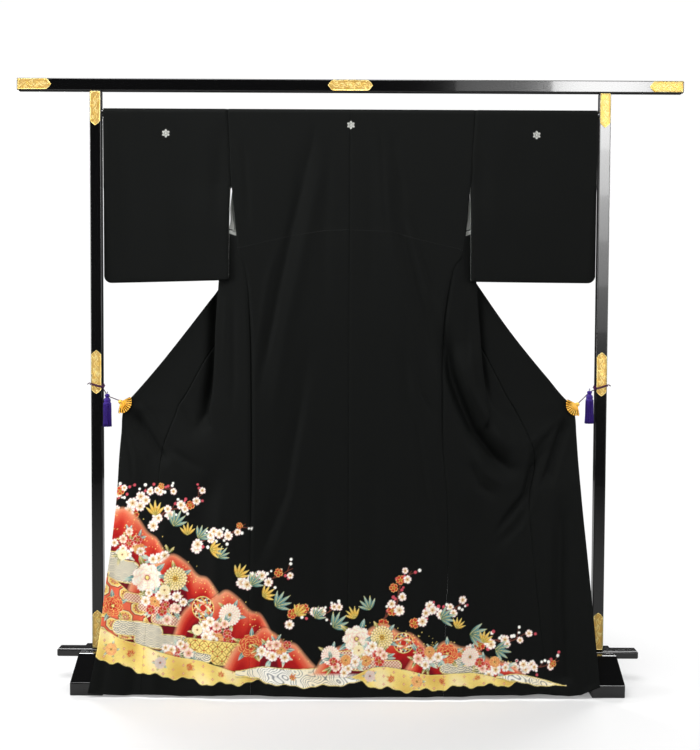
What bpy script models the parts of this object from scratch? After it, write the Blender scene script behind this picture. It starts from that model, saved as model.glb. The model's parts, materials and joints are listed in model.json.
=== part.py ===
"""A formal black kimono hung by its sleeves on a lacquered kimono stand, its back to the viewer.

Metres, +Z up, +X to the right and the viewer on -Y. Sizes count from the floor midway between the
posts, in the plane of the posts and the hanging rod; last, everything moves back by DEPTH_MIDDLE so
that the origin is in the middle of the whole part. Cloth is a thin wall, its points read from
sections: one row of a table for each height, with the panel's seams and folds across it.
Tables are in millimetres, and their x counts outwards from the centre back seam.
"""

import math

import bmesh
import bpy
import numpy as np
from mathutils import Matrix

MM = 0.001
DEPTH_MIDDLE = -0.01413  # y of the middle of the part's depth, from the plane of the posts

# Cloth
CLOTH = 0.002  # wall of a panel: silk, lining and interfacing together
LINING = 0.0012
COLLAR_WIDTH = 0.055
SEAM_GAP = 0.0007  # between two panels at their seam
LAYER_GAP = 0.008  # between the layers of the front fold
NOSE = 0.0035  # how far a fold's control points stand past the fold itself
OKUMI_TOP = 1.330  # where the overlap panel starts, on the collar edge

# Hanging rod, and how the cloth hangs on it
ROD_Z = 1.5885
ROD_R = 0.010
DRAPE_R = ROD_R + 0.0005 + CLOTH / 2  # middle of the cloth wall over the rod
HEM_Z = 0.010
LEAN = 0.168  # how far the hem stands in front of the rod
LEAN_POWER = 1.35
NECK = 0.085  # half the neck opening

# Stand
POST_X = 0.705
POST_WIDTH = 0.0315
POST_DEPTH = 0.026
BAR_LENGTH = 1.842
BAR_HEIGHT = 0.033
BAR_DEPTH = 0.029
BAR_Z = 1.6643  # middle of the top bar
RAIL_LENGTH = 1.636
RAIL_DEPTH = 0.045
RAIL_LOW = 0.068
RAIL_TOP = 0.0893
FOOT_WIDTH = 0.090
FOOT_HALF = 0.155  # half the foot's run from front to back
FOOT_FLAT = 0.052  # half the flat on its top
FOOT_TOP = 0.086
FOOT_END = 0.035  # height of its end face
EDGE = 0.002  # chamfer of the lacquered wood
TOUCH = 0.0003  # gap between two pieces that touch
SOCKET_DEPTH = 0.010  # of the rod's end in the post

# Metal fittings
PLATE = 0.0012
BAR_END_PLATE = 0.092
BAR_MID_PLATE = 0.124
POST_TOP_PLATE = 0.094
POST_MID_PLATE = 0.123
POST_FOOT_PLATE = 0.106
POST_MID_PLATE_Z = 0.869
PLATE_TIP = 0.014

# Clips, cords and tassels
FAN_R = 0.036
FAN_INNER_R = 0.006
FAN_BLADES = 9
FAN_FROM = 156
FAN_TO = 262
BARREL_R = 0.0042
CLIP_FRONT_Y = -0.0185
CLIP_REAR_Y = -0.0060
CORD_R = 0.0013
CORD_Z = 0.832  # of the loop round the post
TASSEL_LENGTH = 0.092
TASSEL_Y = -0.0190

LACQUER = (0.006, 0.006, 0.007)
GOLD = (0.80, 0.56, 0.17)
SILK = (0.010, 0.011, 0.010)
WHITE_SILK = (0.80, 0.80, 0.77)
PURPLE = (0.045, 0.012, 0.20)


def columns(names, *rows):
    """A short table as one array for each named column; its rows run from the top down."""
    values = np.array(rows, float) * MM
    return {name: values[::-1, i] for i, name in enumerate(names.split())}


def read(table, name, z):
    """A column of a table at height z, on a smooth curve through its rows."""
    zs, values = table["z"], table[name]
    slopes = np.gradient(values, zs)
    z = min(max(z, zs[0]), zs[-1])
    i = min(int(np.searchsorted(zs, z, side="right")) - 1, len(zs) - 2)
    run = zs[i + 1] - zs[i]
    t = (z - zs[i]) / run
    return float(
        values[i] * (1 + 2 * t) * (1 - t) ** 2
        + slopes[i] * run * t * (1 - t) ** 2
        + values[i + 1] * t * t * (3 - 2 * t)
        + slopes[i + 1] * run * t * t * (t - 1)
    )


def ease(low, high, value):
    """0 below low, 1 above high and a smooth rise between them."""
    t = min(max((value - low) / (high - low), 0.0), 1.0)
    return t * t * (3 - 2 * t)


# back is the back panel's outer edge, and the side seam below the slit.
BACK = {
    -1: columns(
        "z back",
        (1605, 340.5), (1500, 334.2), (1388, 327.6), (1320, 317.0), (1246, 306.4), (1128, 283.0),
        (990, 272.5), (760, 266.5), (366, 265.5), (153, 265.0), (0, 259.0),
    ),
    1: columns(
        "z back",
        (1605, 347.0), (1500, 340.2), (1388, 333.1), (1320, 324.0), (1252, 311.9), (1128, 280.7),
        (1028, 264.0), (883, 257.5), (687, 257.0), (543, 268.0), (366, 271.7), (198, 263.5), (0, 257.0),
    ),
}
# fold is the front panel's outer fold, and its own side edge above the slit's foot. tuck is the
# inner fold behind it, okumi the seam of the overlap panel, and edge the collar and front edge.
FRONT = {
    -1: columns(
        "z fold fold_y tuck okumi edge edge_y",
        (1605, 340.5, 11.5, 85, 85, 85, 19.0), (1565, 338.1, 11.5, 87, 100, 100, 19.5),
        (1500, 334.2, 11.0, 100, 125, 125, 19.5), (1388, 327.6, 8.0, 134, 187, 187, 17.5),
        (1330, 333.0, 3.0, 155, 212, 219, 14.0), (1270, 337.0, -5.5, 181, 236, 256, 8.0),
        (1246, 351.0, -11.0, 191, 245, 264, 5.5), (1121, 361.0, -20.0, 240, 289, 352, 0.5),
        (980, 369.1, -32.0, 285, 352, 458, -6.0), (889, 370.9, -40.0, 322, 404, 530, -9.0),
        (803, 377.0, -48.0, 354, 449, 604, -12.0), (780, 381.0, -51.0, 363, 464, 625, -13.0),
        (752, 386.0, -54.0, 371, 474, 632, -14.5), (700, 396.0, -60.0, 384, 495, 634, -23.0),
        (659, 404.0, -66.0, 394, 508, 636, -31.0), (520, 404.0, -88.0, 394, 518, 641, -58.0),
        (413, 404.0, -104.0, 394, 524, 649, -80.0), (281, 404.0, -127.0, 394, 533, 663, -109.0),
        (151, 404.0, -145.0, 394, 542, 674, -139.0), (0, 404.0, -170.0, 394, 549, 700, -172.0),
    ),
    1: columns(
        "z fold fold_y tuck okumi edge edge_y",
        (1605, 347.0, 11.5, 85, 85, 85, 19.0), (1565, 344.4, 11.5, 87, 100, 100, 19.5),
        (1500, 340.2, 11.0, 100, 125, 125, 19.5), (1388, 333.1, 8.0, 134, 185, 185, 17.5),
        (1330, 335.5, 3.0, 152, 208, 215, 14.0), (1287, 337.0, -2.0, 168, 224, 241, 9.5),
        (1250, 346.0, -9.0, 184, 240, 267, 6.0), (1121, 350.0, -20.0, 232, 288, 355, 0.5),
        (980, 361.0, -32.0, 276, 345, 455, -6.0), (858, 370.5, -42.0, 318, 405, 555, -10.0),
        (795, 379.0, -49.0, 346, 436, 610, -12.0), (780, 382.0, -51.0, 352, 445, 627, -13.0),
        (752, 387.0, -54.0, 362, 462, 632, -14.5), (700, 396.0, -60.0, 380, 489, 635, -23.0),
        (636, 404.0, -68.0, 392, 509, 638, -35.0), (540, 404.0, -84.0, 394, 489, 644, -56.0),
        (382, 404.0, -109.0, 394, 496, 656, -89.0), (144, 404.0, -148.0, 394, 517, 672, -141.0),
        (0, 404.0, -170.0, 394, 535, 680, -168.0),
    ),
}
# The two walls of a sleeve at its edge by the body, and at its cuff.
SLEEVE_Y = columns(
    "z front rear cuff",
    (1592, -11.5, 11.5, 11.5), (1500, -15.0, 11.0, 9.5), (1388, -21.1, 8.0, 8.0),
    (1350, -26.0, -2.5, 7.5), (1310, -30.5, -16.0, 7.0), (1280, -33.0, -24.5, 6.5),
    (1246, -35.0, -28.5, 6.0), (1200, -38.5, -32.0, 5.5), (1126, -43.5, -37.0, 4.5),
)
SLEEVES = {
    -1: {"seam_top": 0.3405, "seam_foot": 0.3276, "inner": 0.3327, "outer": 0.6840, "foot": (1.1265, 1.1185)},
    1: {"seam_top": 0.3470, "seam_foot": 0.3331, "inner": 0.3340, "outer": 0.6850, "foot": (1.1250, 1.1240)},
}
SEAM_FOOT_Z = 1.388  # foot of the seam between sleeve and body
CUFF_FOOT = 1.372  # the cuff is open above this, and sewn shut below
SLEEVE_CORNER = 0.020
SLIT_RISE = 0.024  # how much higher the slit's foot is at the fold than at the side seam
SEAM_TOP_Z = 1.246  # top of the side seam

# Height of the hem's low edge across the garment; x runs from the left edge to the right one.
HEM_X = (
    -0.701, -0.653, -0.596, -0.518, -0.443, -0.358, -0.293, -0.102, 0.0, 0.087, 0.342, 0.406, 0.469,
    0.511, 0.549, 0.596, 0.629, 0.676,
)
HEM_UP = (
    0.012, 0.008, 0.005, 0.009, 0.005, 0.009, 0.012, 0.007, 0.006, 0.008, 0.010, 0.012, 0.010,
    0.014, 0.012, 0.008, 0.012, 0.032,
)
HEM_BLEND = 0.16  # the hem's line fades out this far above it

# Soft folds: (x, z) along each, half its width, and how far it falls back (+) or stands out (-).
FOLDS = {
    -1: (
        ((110, 1540), (155, 1260), (225, 960), (240, 800), 17, 7),
        ((108, 980), (139, 757), (190, 525), (250, 330), 18, 7),
        ((70, 1500), (118, 1260), (180, 960), (215, 700), 20, -5),
        ((605, 765), (572, 705), (535, 660), (500, 610), 22, 9),
        ((625, 700), (600, 560), (590, 400), (585, 230), 30, -8),
        ((330, 640), (400, 500), (420, 330), (425, 60), 36, 8),
        ((330, 520), (320, 380), (318, 200), (316, 20), 30, -6),
    ),
    1: (
        ((117, 1480), (153, 1260), (210, 1020), (236, 860), 17, 7),
        ((146, 980), (172, 690), (220, 420), (246, 330), 18, 7),
        ((75, 1500), (110, 1260), (170, 960), (195, 700), 20, -5),
        ((275, 990), (286, 900), (300, 815), (346, 715), (392, 640), (432, 600), (486, 612), 24, 14),
        ((322, 960), (340, 830), (385, 740), (430, 680), (470, 668), 26, -8),
        ((612, 745), (588, 670), (565, 605), (546, 550), 18, 9),
        ((566, 690), (520, 633), (492, 490), (460, 445), (388, 390), 18, 7),
        ((600, 560), (590, 430), (575, 260), (570, 60), 32, 9),
        ((330, 560), (345, 400), (352, 220), (355, 30), 34, 7),
    ),
}

# Heights of the sections, from the shoulder down; the first few lie over the rod, as angles.
ROD_ANGLES = (2, 36, 68)
BACK_ROWS = (
    1.586, 1.540, 1.470, 1.388, 1.320, 1.246, 1.185, 1.121, 1.050, 0.980, 0.900, 0.830, 0.752, 0.680,
    0.600, 0.520, 0.430, 0.340, 0.250, 0.151, 0.070, HEM_Z,
)
FRONT_ROWS = (
    1.586, 1.565, 1.500, 1.440, 1.388, 1.330, 1.295, SEAM_TOP_Z, 1.185, 1.121, 1.050, 0.980, 0.930,
    0.889, 0.845, 0.803, 0.780, 0.752, 0.720, 0.690, 0.650, 0.600, 0.540, 0.480, 0.413, 0.340, 0.250,
    0.151, 0.070, HEM_Z,
)
BACK_STEPS = 13
# Places across the front section: 0 is the side seam, 2.5 the outer fold, 4.5 the inner one and 7
# the seam of the overlap panel, which runs on to 9.
FRONT_STEPS = (0, 0.7, 1.35, 1.8, 2.15, 2.5, 2.85, 3.25, 3.75, 4.15, 4.5, 4.85, 5.3, 5.9, 6.45, 7)
FRONT_EDGE_STEP = 6  # the front's own side edge above the slit, in FRONT_STEPS
LAPEL_STEP = 10  # the inner fold, where the wall ends on the shoulder
OKUMI_STEPS = (7, 7.35, 7.75, 8.2, 8.6, 9)
LAPEL_TOP_Z = 1.565
# The slit's lining: height, and how far its outer border stays from the front's own edge.
LINING_ROWS = (
    (1.500, 0.03), (1.440, 0.03), (1.388, 0.04), (1.360, 0.04), (1.330, 0.04), (1.295, 0.05),
    (SEAM_TOP_Z, 0.17),
)


def start():
    for obj in list(bpy.data.objects):
        bpy.data.objects.remove(obj)


def material(name, colour, roughness, metallic=0.0):
    made = bpy.data.materials.new(name)
    made.use_nodes = True
    shader = made.node_tree.nodes["Principled BSDF"]
    shader.inputs["Base Color"].default_value = (*colour, 1)
    shader.inputs["Roughness"].default_value = roughness
    shader.inputs["Metallic"].default_value = metallic
    return made


def add_object(name, points, faces, look, smooth=True):
    mesh = bpy.data.meshes.new(name)
    mesh.from_pydata([tuple(map(float, p)) for p in points], [], faces)
    mesh.materials.append(look)
    obj = bpy.data.objects.new(name, mesh)
    bpy.context.scene.collection.objects.link(obj)
    if smooth:
        mesh.shade_smooth()
        mesh.set_sharp_from_angle(angle=math.radians(40))
    return obj


def face_outwards(obj):
    edit = bmesh.new()
    edit.from_mesh(obj.data)
    bmesh.ops.recalc_face_normals(edit, faces=edit.faces)
    edit.to_mesh(obj.data)
    edit.free()


def thicken(obj, thickness):
    wall = obj.modifiers.new("Wall", "SOLIDIFY")
    wall.thickness = thickness
    wall.offset = 0
    wall.use_even_offset = True
    return obj


def grid_wall(name, grid, look, thickness=CLOTH, present=None):
    """A wall on a grid of middle points, rows by columns; present(row, column) may leave cells out."""
    rows, cols = grid.shape[:2]
    faces = [
        (r * cols + c, r * cols + c + 1, (r + 1) * cols + c + 1, (r + 1) * cols + c)
        for r in range(rows - 1)
        for c in range(cols - 1)
        if present is None or present(r, c)
    ]
    used = sorted({corner for face in faces for corner in face})
    place = {corner: i for i, corner in enumerate(used)}
    flat = grid.reshape(-1, 3)
    obj = add_object(
        name, flat[used], [tuple(place[corner] for corner in face) for face in faces], look
    )
    return thicken(obj, thickness)


def pull_back(grid, axis, end):
    """Moves one border of a grid half a seam's gap towards its neighbours."""
    view = grid if axis == 0 else grid.swapaxes(0, 1)
    first, second = (0, 1) if end == 0 else (-1, -2)
    inward = view[second] - view[first]
    view[first] += inward / np.linalg.norm(inward, axis=1, keepdims=True) * SEAM_GAP / 2


def lean(z):
    """y of the back panel's middle at height z."""
    return -DRAPE_R - LEAN * max((ROD_Z - z) / (ROD_Z - HEM_Z), 0.0) ** LEAN_POWER


def fold_depth(side, x, z):
    """How far the soft folds move the cloth in y at a place; x counts outwards."""
    depth = 0.0
    for *line, width, height in FOLDS[side]:
        line = np.array(line, float) * MM
        starts, runs = line[:-1], line[1:] - line[:-1]
        share = ((np.array([x, z]) - starts) * runs).sum(axis=1) / (runs**2).sum(axis=1)
        near = starts + runs * np.clip(share, 0, 1)[:, None]
        away = np.hypot(near[:, 0] - x, near[:, 1] - z).min()
        depth += height * MM * math.exp(-((away / (width * MM)) ** 2))
    return depth


def hem_height(x, z):
    """A row's height with the hem's own line worked in near the floor; x is the real one."""
    return z + (np.interp(x, HEM_X, HEM_UP) - HEM_Z) * (1 - ease(HEM_Z, HEM_Z + HEM_BLEND, z))


def spline(points, t):
    """A point of the uniform cubic B-spline that starts and ends on its first and last points."""
    ends = np.vstack([2 * points[0] - points[1], points, 2 * points[-1] - points[-2]])
    i = min(int(t), len(points) - 2)
    f = t - i
    weights = ((1 - f) ** 3, 3 * f**3 - 6 * f**2 + 4, -3 * f**3 + 3 * f**2 + 3 * f + 1, f**3)
    return sum(w * ends[i + k] for k, w in enumerate(weights)) / 6


def front_section(side, z):
    """Control points across the front and the overlap panel at height z, as (x, y)."""
    table = FRONT[side]
    seam = np.array([read(BACK[side], "back", z), lean(z) + 0.0005])
    fold_x, fold_y = read(table, "fold", z), read(table, "fold_y", z)
    tuck_x = read(table, "tuck", z)
    edge = np.array([read(table, "edge", z), read(table, "edge_y", z)])
    gap = LAYER_GAP * (0.5 + 0.5 * ease(0.66, 0.80, z))
    inner_y = fold_y + 0.5 * gap * ease(1.34, SEAM_TOP_Z, z)
    okumi_x = read(table, "okumi", z)
    share = ease(tuck_x, edge[0], okumi_x) if z > OKUMI_TOP else (okumi_x - tuck_x) / (edge[0] - tuck_x)
    okumi = np.array([okumi_x, inner_y + gap + (edge[1] - inner_y - gap) * share**1.3])
    if z > OKUMI_TOP:
        okumi = edge
    outer = np.array([fold_x + NOSE, fold_y - 0.75 * gap])
    folded = np.array(
        [
            (seam + outer) / 2,
            outer,
            (fold_x + NOSE, fold_y),
            (tuck_x - NOSE, inner_y),
            (tuck_x - NOSE, inner_y + gap),
            (np.array([tuck_x, inner_y + gap]) + okumi) / 2,
        ]
    )
    if z > SEAM_TOP_Z + 0.001:
        # Nothing lies outside the front's own edge here, and the section is straight up to it.
        tuck, side_edge = folded[3], np.array([fold_x, fold_y])
        folded[:3] = [tuck + (side_edge - tuck) * (4 - k) / 1.15 for k in (1, 2, 3)]
        seam = tuck + (side_edge - tuck) * 4 / 1.15
    flat_y = 0.6 * seam[1] + 0.4 * okumi[1]
    flat = np.array([seam + (okumi - seam) * k / 7 for k in range(1, 7)])
    flat[:, 1] = np.interp(flat[:, 0], (seam[0], (seam[0] + okumi[0]) / 2, okumi[0]), (seam[1], flat_y, okumi[1]))
    pleat = ease(0.655, 0.775, z)
    middle = flat + (folded - flat) * pleat
    hinge = okumi + (edge - okumi) * (0.6, 0.85)
    return np.vstack([seam, middle, okumi, hinge, edge])


def front_point(side, t, z):
    x, y = spline(front_section(side, z), t)
    top = ease(SEAM_TOP_Z - 0.09, SEAM_TOP_Z, z) * (z <= SEAM_TOP_Z + 0.001)
    rise = SLIT_RISE * top * (min(t / 2.85, 1.0) if t < 2.85 else max(1 - (t - 2.85) / 1.3, 0.0))
    if t < 1.4 or z < 0.66:
        y += fold_depth(side, x, z)
    elif t > 5.9:
        y += fold_depth(side, x, z) * ease(5.9, 6.6, t)
    elif z < 0.76:
        y += fold_depth(side, x, z) * ease(0.76, 0.66, z)
    return side * x, y, hem_height(side * x, z + rise)


def over_rod(x, angle, front):
    """A point over the rod, at an angle from its top towards the front (-1) or the rear (1)."""
    a = math.radians(angle)
    return x, front * DRAPE_R * math.sin(a), ROD_Z + DRAPE_R * math.cos(a)


def make_back(side, label, look):
    grid = []
    for angle in ROD_ANGLES:
        z = ROD_Z + DRAPE_R * math.cos(math.radians(angle))
        width = read(BACK[side], "back", z)
        grid.append([over_rod(side * width * k / BACK_STEPS, angle, -1) for k in range(BACK_STEPS + 1)])
    for z in BACK_ROWS:
        width = read(BACK[side], "back", z)
        row = []
        for k in range(BACK_STEPS + 1):
            x = width * k / BACK_STEPS
            soft = ease(ROD_Z + 0.01, ROD_Z - 0.10, z)
            y = lean(z) + soft * (0.0005 * (k / BACK_STEPS) ** 2 + fold_depth(side, x, z))
            row.append((side * x, y, hem_height(side * x, z)))
        grid.append(row)
    grid = np.array(grid)
    pull_back(grid, 1, 0)
    pull_back(grid, 1, -1)
    pull_back(grid, 0, 0)
    if side > 0:
        grid = grid[:, ::-1]
    return grid_wall(f"back_{label}", grid, look)


def front_grid(side, steps):
    grid = []
    for angle in ROD_ANGLES:
        z = ROD_Z + DRAPE_R * math.cos(math.radians(angle))
        section = front_section(side, z)
        grid.append([over_rod(side * spline(section, t)[0], angle, 1) for t in steps])
    grid += [[front_point(side, t, z) for t in steps] for z in FRONT_ROWS]
    return np.array(grid)


def row_of(z):
    return len(ROD_ANGLES) + FRONT_ROWS.index(z)


def make_front(side, label, look):
    grid = front_grid(side, FRONT_STEPS)
    pull_back(grid, 0, 0)
    pull_back(grid, 1, -1)
    pull_back(grid, 1, 0)
    seam_row, lapel_row = row_of(SEAM_TOP_Z), row_of(LAPEL_TOP_Z)

    def present(r, c):
        return (c >= FRONT_EDGE_STEP or r >= seam_row) and (c < LAPEL_STEP or r >= lapel_row)

    # The side edge above the slit is a border too: it keeps off the sleeve.
    edge = grid[:seam_row, FRONT_EDGE_STEP]
    edge += (0.5 * SEAM_GAP * -side, 0, 0)
    obj = grid_wall(f"front_{label}", grid, look, present=present)
    if side > 0:
        obj.data.flip_normals()
    return obj


def make_okumi(side, label, look):
    grid = front_grid(side, OKUMI_STEPS)[row_of(OKUMI_TOP):]
    pull_back(grid, 1, 0)
    if side > 0:
        grid = grid[:, ::-1]
    return grid_wall(f"okumi_{label}", grid, look)


def make_lining(side, label, look):
    """The white lining that shows in the slit below the sleeve seam, inside the front panel."""
    edge = FRONT_STEPS[FRONT_EDGE_STEP]
    grid = [[front_point(side, t, z) for t in (edge + inset, 3.3, 3.75)] for z, inset in LINING_ROWS]
    grid = np.array(grid) - (0, CLOTH / 2 + LINING / 2 + 0.0006, 0)
    if side > 0:
        grid = grid[:, ::-1]
    return grid_wall(f"lining_{label}", grid, look, LINING)


def sleeve_ring(side, share, sizes):
    """The loop of a sleeve at a share of its width from the body to the cuff."""
    outer = sizes["outer"]
    corner = math.radians(max(share - 1, 0) * 90)
    foot = np.interp(share, (0, 1), sizes["foot"]) + SLEEVE_CORNER * (1 - math.cos(corner))
    heights = [z for z in SLEEVE_ROWS if z > foot + 0.012]
    heights += [foot + 0.0045] * (len(SLEEVE_ROWS) - len(heights))
    near = (1 - min(share, 1)) ** 1.6

    def place(z, wall):
        seam = ease(SEAM_FOOT_Z - 0.001, SEAM_FOOT_Z, z)
        line = np.interp(z, (SEAM_FOOT_Z, 1.605), (sizes["seam_foot"], sizes["seam_top"]))
        inner = line * seam + sizes["inner"] * (1 - seam) + SEAM_GAP / 2
        flat = outer - SLEEVE_CORNER
        x = inner + (flat - inner) * min(share, 1) + SLEEVE_CORNER * math.sin(corner)
        cuff = read(SLEEVE_Y, "cuff", z)
        body = read(SLEEVE_Y, "front" if wall < 0 else "rear", z)
        return side * x, wall * cuff * (1 - near) + body * near, z

    ring = [place(ROD_Z + DRAPE_R * math.cos(math.radians(a)), -1) for a in (0, 36, 68)]
    ring = [(x, -DRAPE_R * math.sin(math.radians(a)), z) for (x, _, z), a in zip(ring, (0, 36, 68))]
    front = [place(z, -1) for z in heights]
    rear = [place(z, 1) for z in heights]
    low = place(foot + 0.0045, 1)
    bottom = (low[0], (front[-1][1] + rear[-1][1]) / 2, foot)
    over = [(x, -y, z) for x, y, z in ring[:0:-1]]
    return ring + front + [bottom] + rear[::-1] + over


SLEEVE_ROWS = (1.585, 1.540, 1.470, 1.389, 1.372, 1.330, 1.295, 1.265, 1.230, 1.190, 1.150, 1.1305)
SLEEVE_SHARES = (0, 0.1, 0.24, 0.42, 0.62, 0.82, 1, 1.35, 1.7, 2)


def make_sleeve(side, label, look):
    sizes = SLEEVES[side]
    rings = np.array([sleeve_ring(side, share, sizes) for share in SLEEVE_SHARES])
    count = rings.shape[1]
    faces = [
        (r * count + c, r * count + (c + 1) % count, (r + 1) * count + (c + 1) % count, (r + 1) * count + c)
        for r in range(len(rings) - 1)
        for c in range(count)
    ]
    # The cuff is sewn shut below its opening: strips join the front wall to the rear one there.
    last = (len(rings) - 1) * count
    first_shut = 3 + SLEEVE_ROWS.index(CUFF_FOOT)
    bottom = 3 + len(SLEEVE_ROWS)
    for c in range(first_shut, bottom - 1):
        mirror = 2 * bottom - c
        faces.append((last + c, last + c + 1, last + mirror - 1, last + mirror))
    faces.append((last + bottom - 1, last + bottom, last + bottom + 1))
    obj = add_object(f"sleeve_{label}", rings.reshape(-1, 3), faces, look)
    edit = bmesh.new()
    edit.from_mesh(obj.data)
    bmesh.ops.remove_doubles(edit, verts=edit.verts, dist=0.0001)
    bmesh.ops.dissolve_degenerate(edit, edges=edit.edges, dist=0.0001)
    bmesh.ops.recalc_face_normals(edit, faces=edit.faces)
    edit.to_mesh(obj.data)
    edit.free()
    return thicken(obj, CLOTH)


COLLAR_ROWS = (
    1.560, 1.530, 1.490, 1.440, 1.388, 1.330, 1.295, 1.250, 1.185, 1.121, 1.050, 0.980, 0.930, 0.889,
    0.845, 0.815,
)
COLLAR_SHARES = (0, 0.13, 0.26, 0.40, 0.60, 0.80, 1)
COLLAR_OUT = 0.0040  # of the collar's middle behind the panel's
NECK_END = 0.0750  # where the neck stretch of the collar meets the side ones
# Where it turns down at the neck: x of its seam, that seam's angle over the rod, how far the
# collar stands off the rod, and x and z of its free border.
COLLAR_TURN = ((75, 2, 0, 75, 1549), (79, 16, 1, 76, 1548), (80.5, 50, 4.5, 74, 1545), (81.5, 84, 10, 66, 1537))


def collar_hang(x, angle=2, out=0, low_x=None, low_z=1549):
    """The collar's section behind the rod, from its seam at an angle over the rod down to its free border."""
    low_x = x if low_x is None else low_x
    row = []
    for k in range(3):
        a = math.radians(angle + (90 - angle) * k * 0.38)
        radius = DRAPE_R + out * MM
        row.append((x, radius * math.sin(a), ROD_Z + radius * math.cos(a)))
    high = min(ROD_Z - 0.002, row[-1][2] - 0.004)
    for k in range(4):
        share = k / 3
        row.append((x + (low_x - x) * share, radius + 0.0006 * share, high + (low_z * MM - high) * share))
    return row


def panel_y(side, x, z):
    """y of the middle of the turned-out front layer at a place."""
    places = [front_point(side, t, z) for t in np.linspace(5.3, 9, 20)]
    return np.interp(x, [side * p[0] for p in places], [p[1] for p in places])


def collar_row(side, z):
    """The collar across its width at height z of the panel edge it is turned in from."""
    table = FRONT[side]
    x, step = read(table, "edge", z), 0.02
    slope = (read(table, "edge", z - step) - read(table, "edge", z + step)) / (2 * step)
    turn = math.atan2(1, slope) * ease(1.62, 1.50, z)
    row = []
    for share in COLLAR_SHARES:
        away = share * COLLAR_WIDTH
        px, pz = x - away * math.sin(turn), z - away * math.cos(turn)
        row.append((side * px, panel_y(side, px, pz) + COLLAR_OUT, pz))
    return row


def make_collar(look):
    xs = np.linspace(-NECK_END + SEAM_GAP / 2, NECK_END - SEAM_GAP / 2, 5)
    grid_wall("collar_neck", np.array([collar_hang(x) for x in xs]), look)
    for side, label in ((-1, "left"), (1, "right")):
        grid = []
        for x, angle, out, low_x, low_z in COLLAR_TURN:
            grid.append(collar_hang(side * x * MM, angle, out, side * low_x * MM, low_z))
        grid += [collar_row(side, z) for z in COLLAR_ROWS]
        grid = np.array(grid)
        pull_back(grid, 0, 0)
        grid_wall(f"collar_{label}", grid, look)


def make_box(name, low, high, look, edge=EDGE):
    points = [(x, y, z) for x in (low[0], high[0]) for y in (low[1], high[1]) for z in (low[2], high[2])]
    faces = [(0, 1, 3, 2), (4, 6, 7, 5), (0, 4, 5, 1), (2, 3, 7, 6), (0, 2, 6, 4), (1, 5, 7, 3)]
    obj = add_object(name, points, faces, look, smooth=False)
    face_outwards(obj)
    if edge:
        bevel = obj.modifiers.new("Edges", "BEVEL")
        bevel.width = edge
        bevel.segments = 1
        bevel.limit_method = "ANGLE"
    return obj


def cut(obj, cutter):
    cutter.hide_render = True
    cutter.display_type = "WIRE"
    socket = obj.modifiers.new("Cut", "BOOLEAN")
    socket.operation = "DIFFERENCE"
    socket.object = cutter


def join(obj, other):
    other.hide_render = True
    other.display_type = "WIRE"
    union = obj.modifiers.new("Join", "BOOLEAN")
    union.operation = "UNION"
    union.object = other


def make_prism(name, outline, low, high, axis, look):
    """A closed prism on an outline of two coordinates, run along the third axis."""
    count = len(outline)
    points = []
    for level in (low, high):
        for u, v in outline:
            point = [u, v]
            point.insert(axis, level)
            points.append(point)
    faces = [tuple(range(count)), tuple(range(count, 2 * count))]
    faces += [(i, (i + 1) % count, count + (i + 1) % count, count + i) for i in range(count)]
    obj = add_object(name, points, faces, look, smooth=False)
    face_outwards(obj)
    return obj


def circle(u, v, radius, count, turn=0.0):
    return [
        (u + radius * math.cos(2 * math.pi * k / count + turn), v + radius * math.sin(2 * math.pi * k / count + turn))
        for k in range(count)
    ]


def make_stand(wood):
    bar_low, bar_high = BAR_Z - BAR_HEIGHT / 2, BAR_Z + BAR_HEIGHT / 2
    half_bar, half_rail = BAR_LENGTH / 2, RAIL_LENGTH / 2
    make_box("top_bar", (-half_bar, -BAR_DEPTH / 2, bar_low), (half_bar, BAR_DEPTH / 2, bar_high), wood)
    make_box(
        "base_rail", (-half_rail, -RAIL_DEPTH / 2, RAIL_LOW), (half_rail, RAIL_DEPTH / 2, RAIL_TOP), wood, 0.004
    )
    rod_end = POST_X - POST_WIDTH / 2 + SOCKET_DEPTH
    make_prism("hanging_rod", circle(0, ROD_Z, ROD_R, 16, math.pi / 16), -rod_end, rod_end, 0, wood)
    for side, label in ((-1, "left"), (1, "right")):
        centre = side * POST_X
        post = make_box(
            f"post_{label}",
            (centre - POST_WIDTH / 2, -POST_DEPTH / 2, RAIL_TOP + TOUCH),
            (centre + POST_WIDTH / 2, POST_DEPTH / 2, bar_low - TOUCH),
            wood,
        )
        inner = side * (POST_X - POST_WIDTH / 2)
        bore = sorted((inner - side * 0.01, inner + side * (SOCKET_DEPTH + TOUCH)))
        socket = circle(0, ROD_Z, ROD_R + TOUCH, 16, math.pi / 16)
        cut(post, make_prism(f"socket_{label}", socket, *bore, 0, wood))
        notch, deep = RAIL_DEPTH / 2 + TOUCH, RAIL_LOW - TOUCH
        outline = [
            (-FOOT_HALF, 0), (FOOT_HALF, 0), (FOOT_HALF, FOOT_END), (FOOT_FLAT, FOOT_TOP), (notch, FOOT_TOP),
            (notch, deep), (-notch, deep), (-notch, FOOT_TOP), (-FOOT_FLAT, FOOT_TOP), (-FOOT_HALF, FOOT_END),
        ]
        make_prism(
            f"foot_{label}", outline, centre - FOOT_WIDTH / 2, centre + FOOT_WIDTH / 2, 0, wood
        )


def plate_outline(length, width, points):
    """A fitting's outline along its length: flat or pointed at its low end and its high end."""
    half = width / 2
    outline = []
    for end, pointed in ((-1, points[0]), (1, points[1])):
        level = end * length / 2
        shoulder = level - end * PLATE_TIP
        corners = [(level, -half), (level, half)]
        if pointed:
            corners = [(shoulder, -half), (level - end * PLATE_TIP * 0.55, -half * 0.62), (level, 0)]
            corners += [(level - end * PLATE_TIP * 0.55, half * 0.62), (shoulder, half)]
        outline += corners[::-1] if end > 0 else corners
    return outline[::-1]


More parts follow.
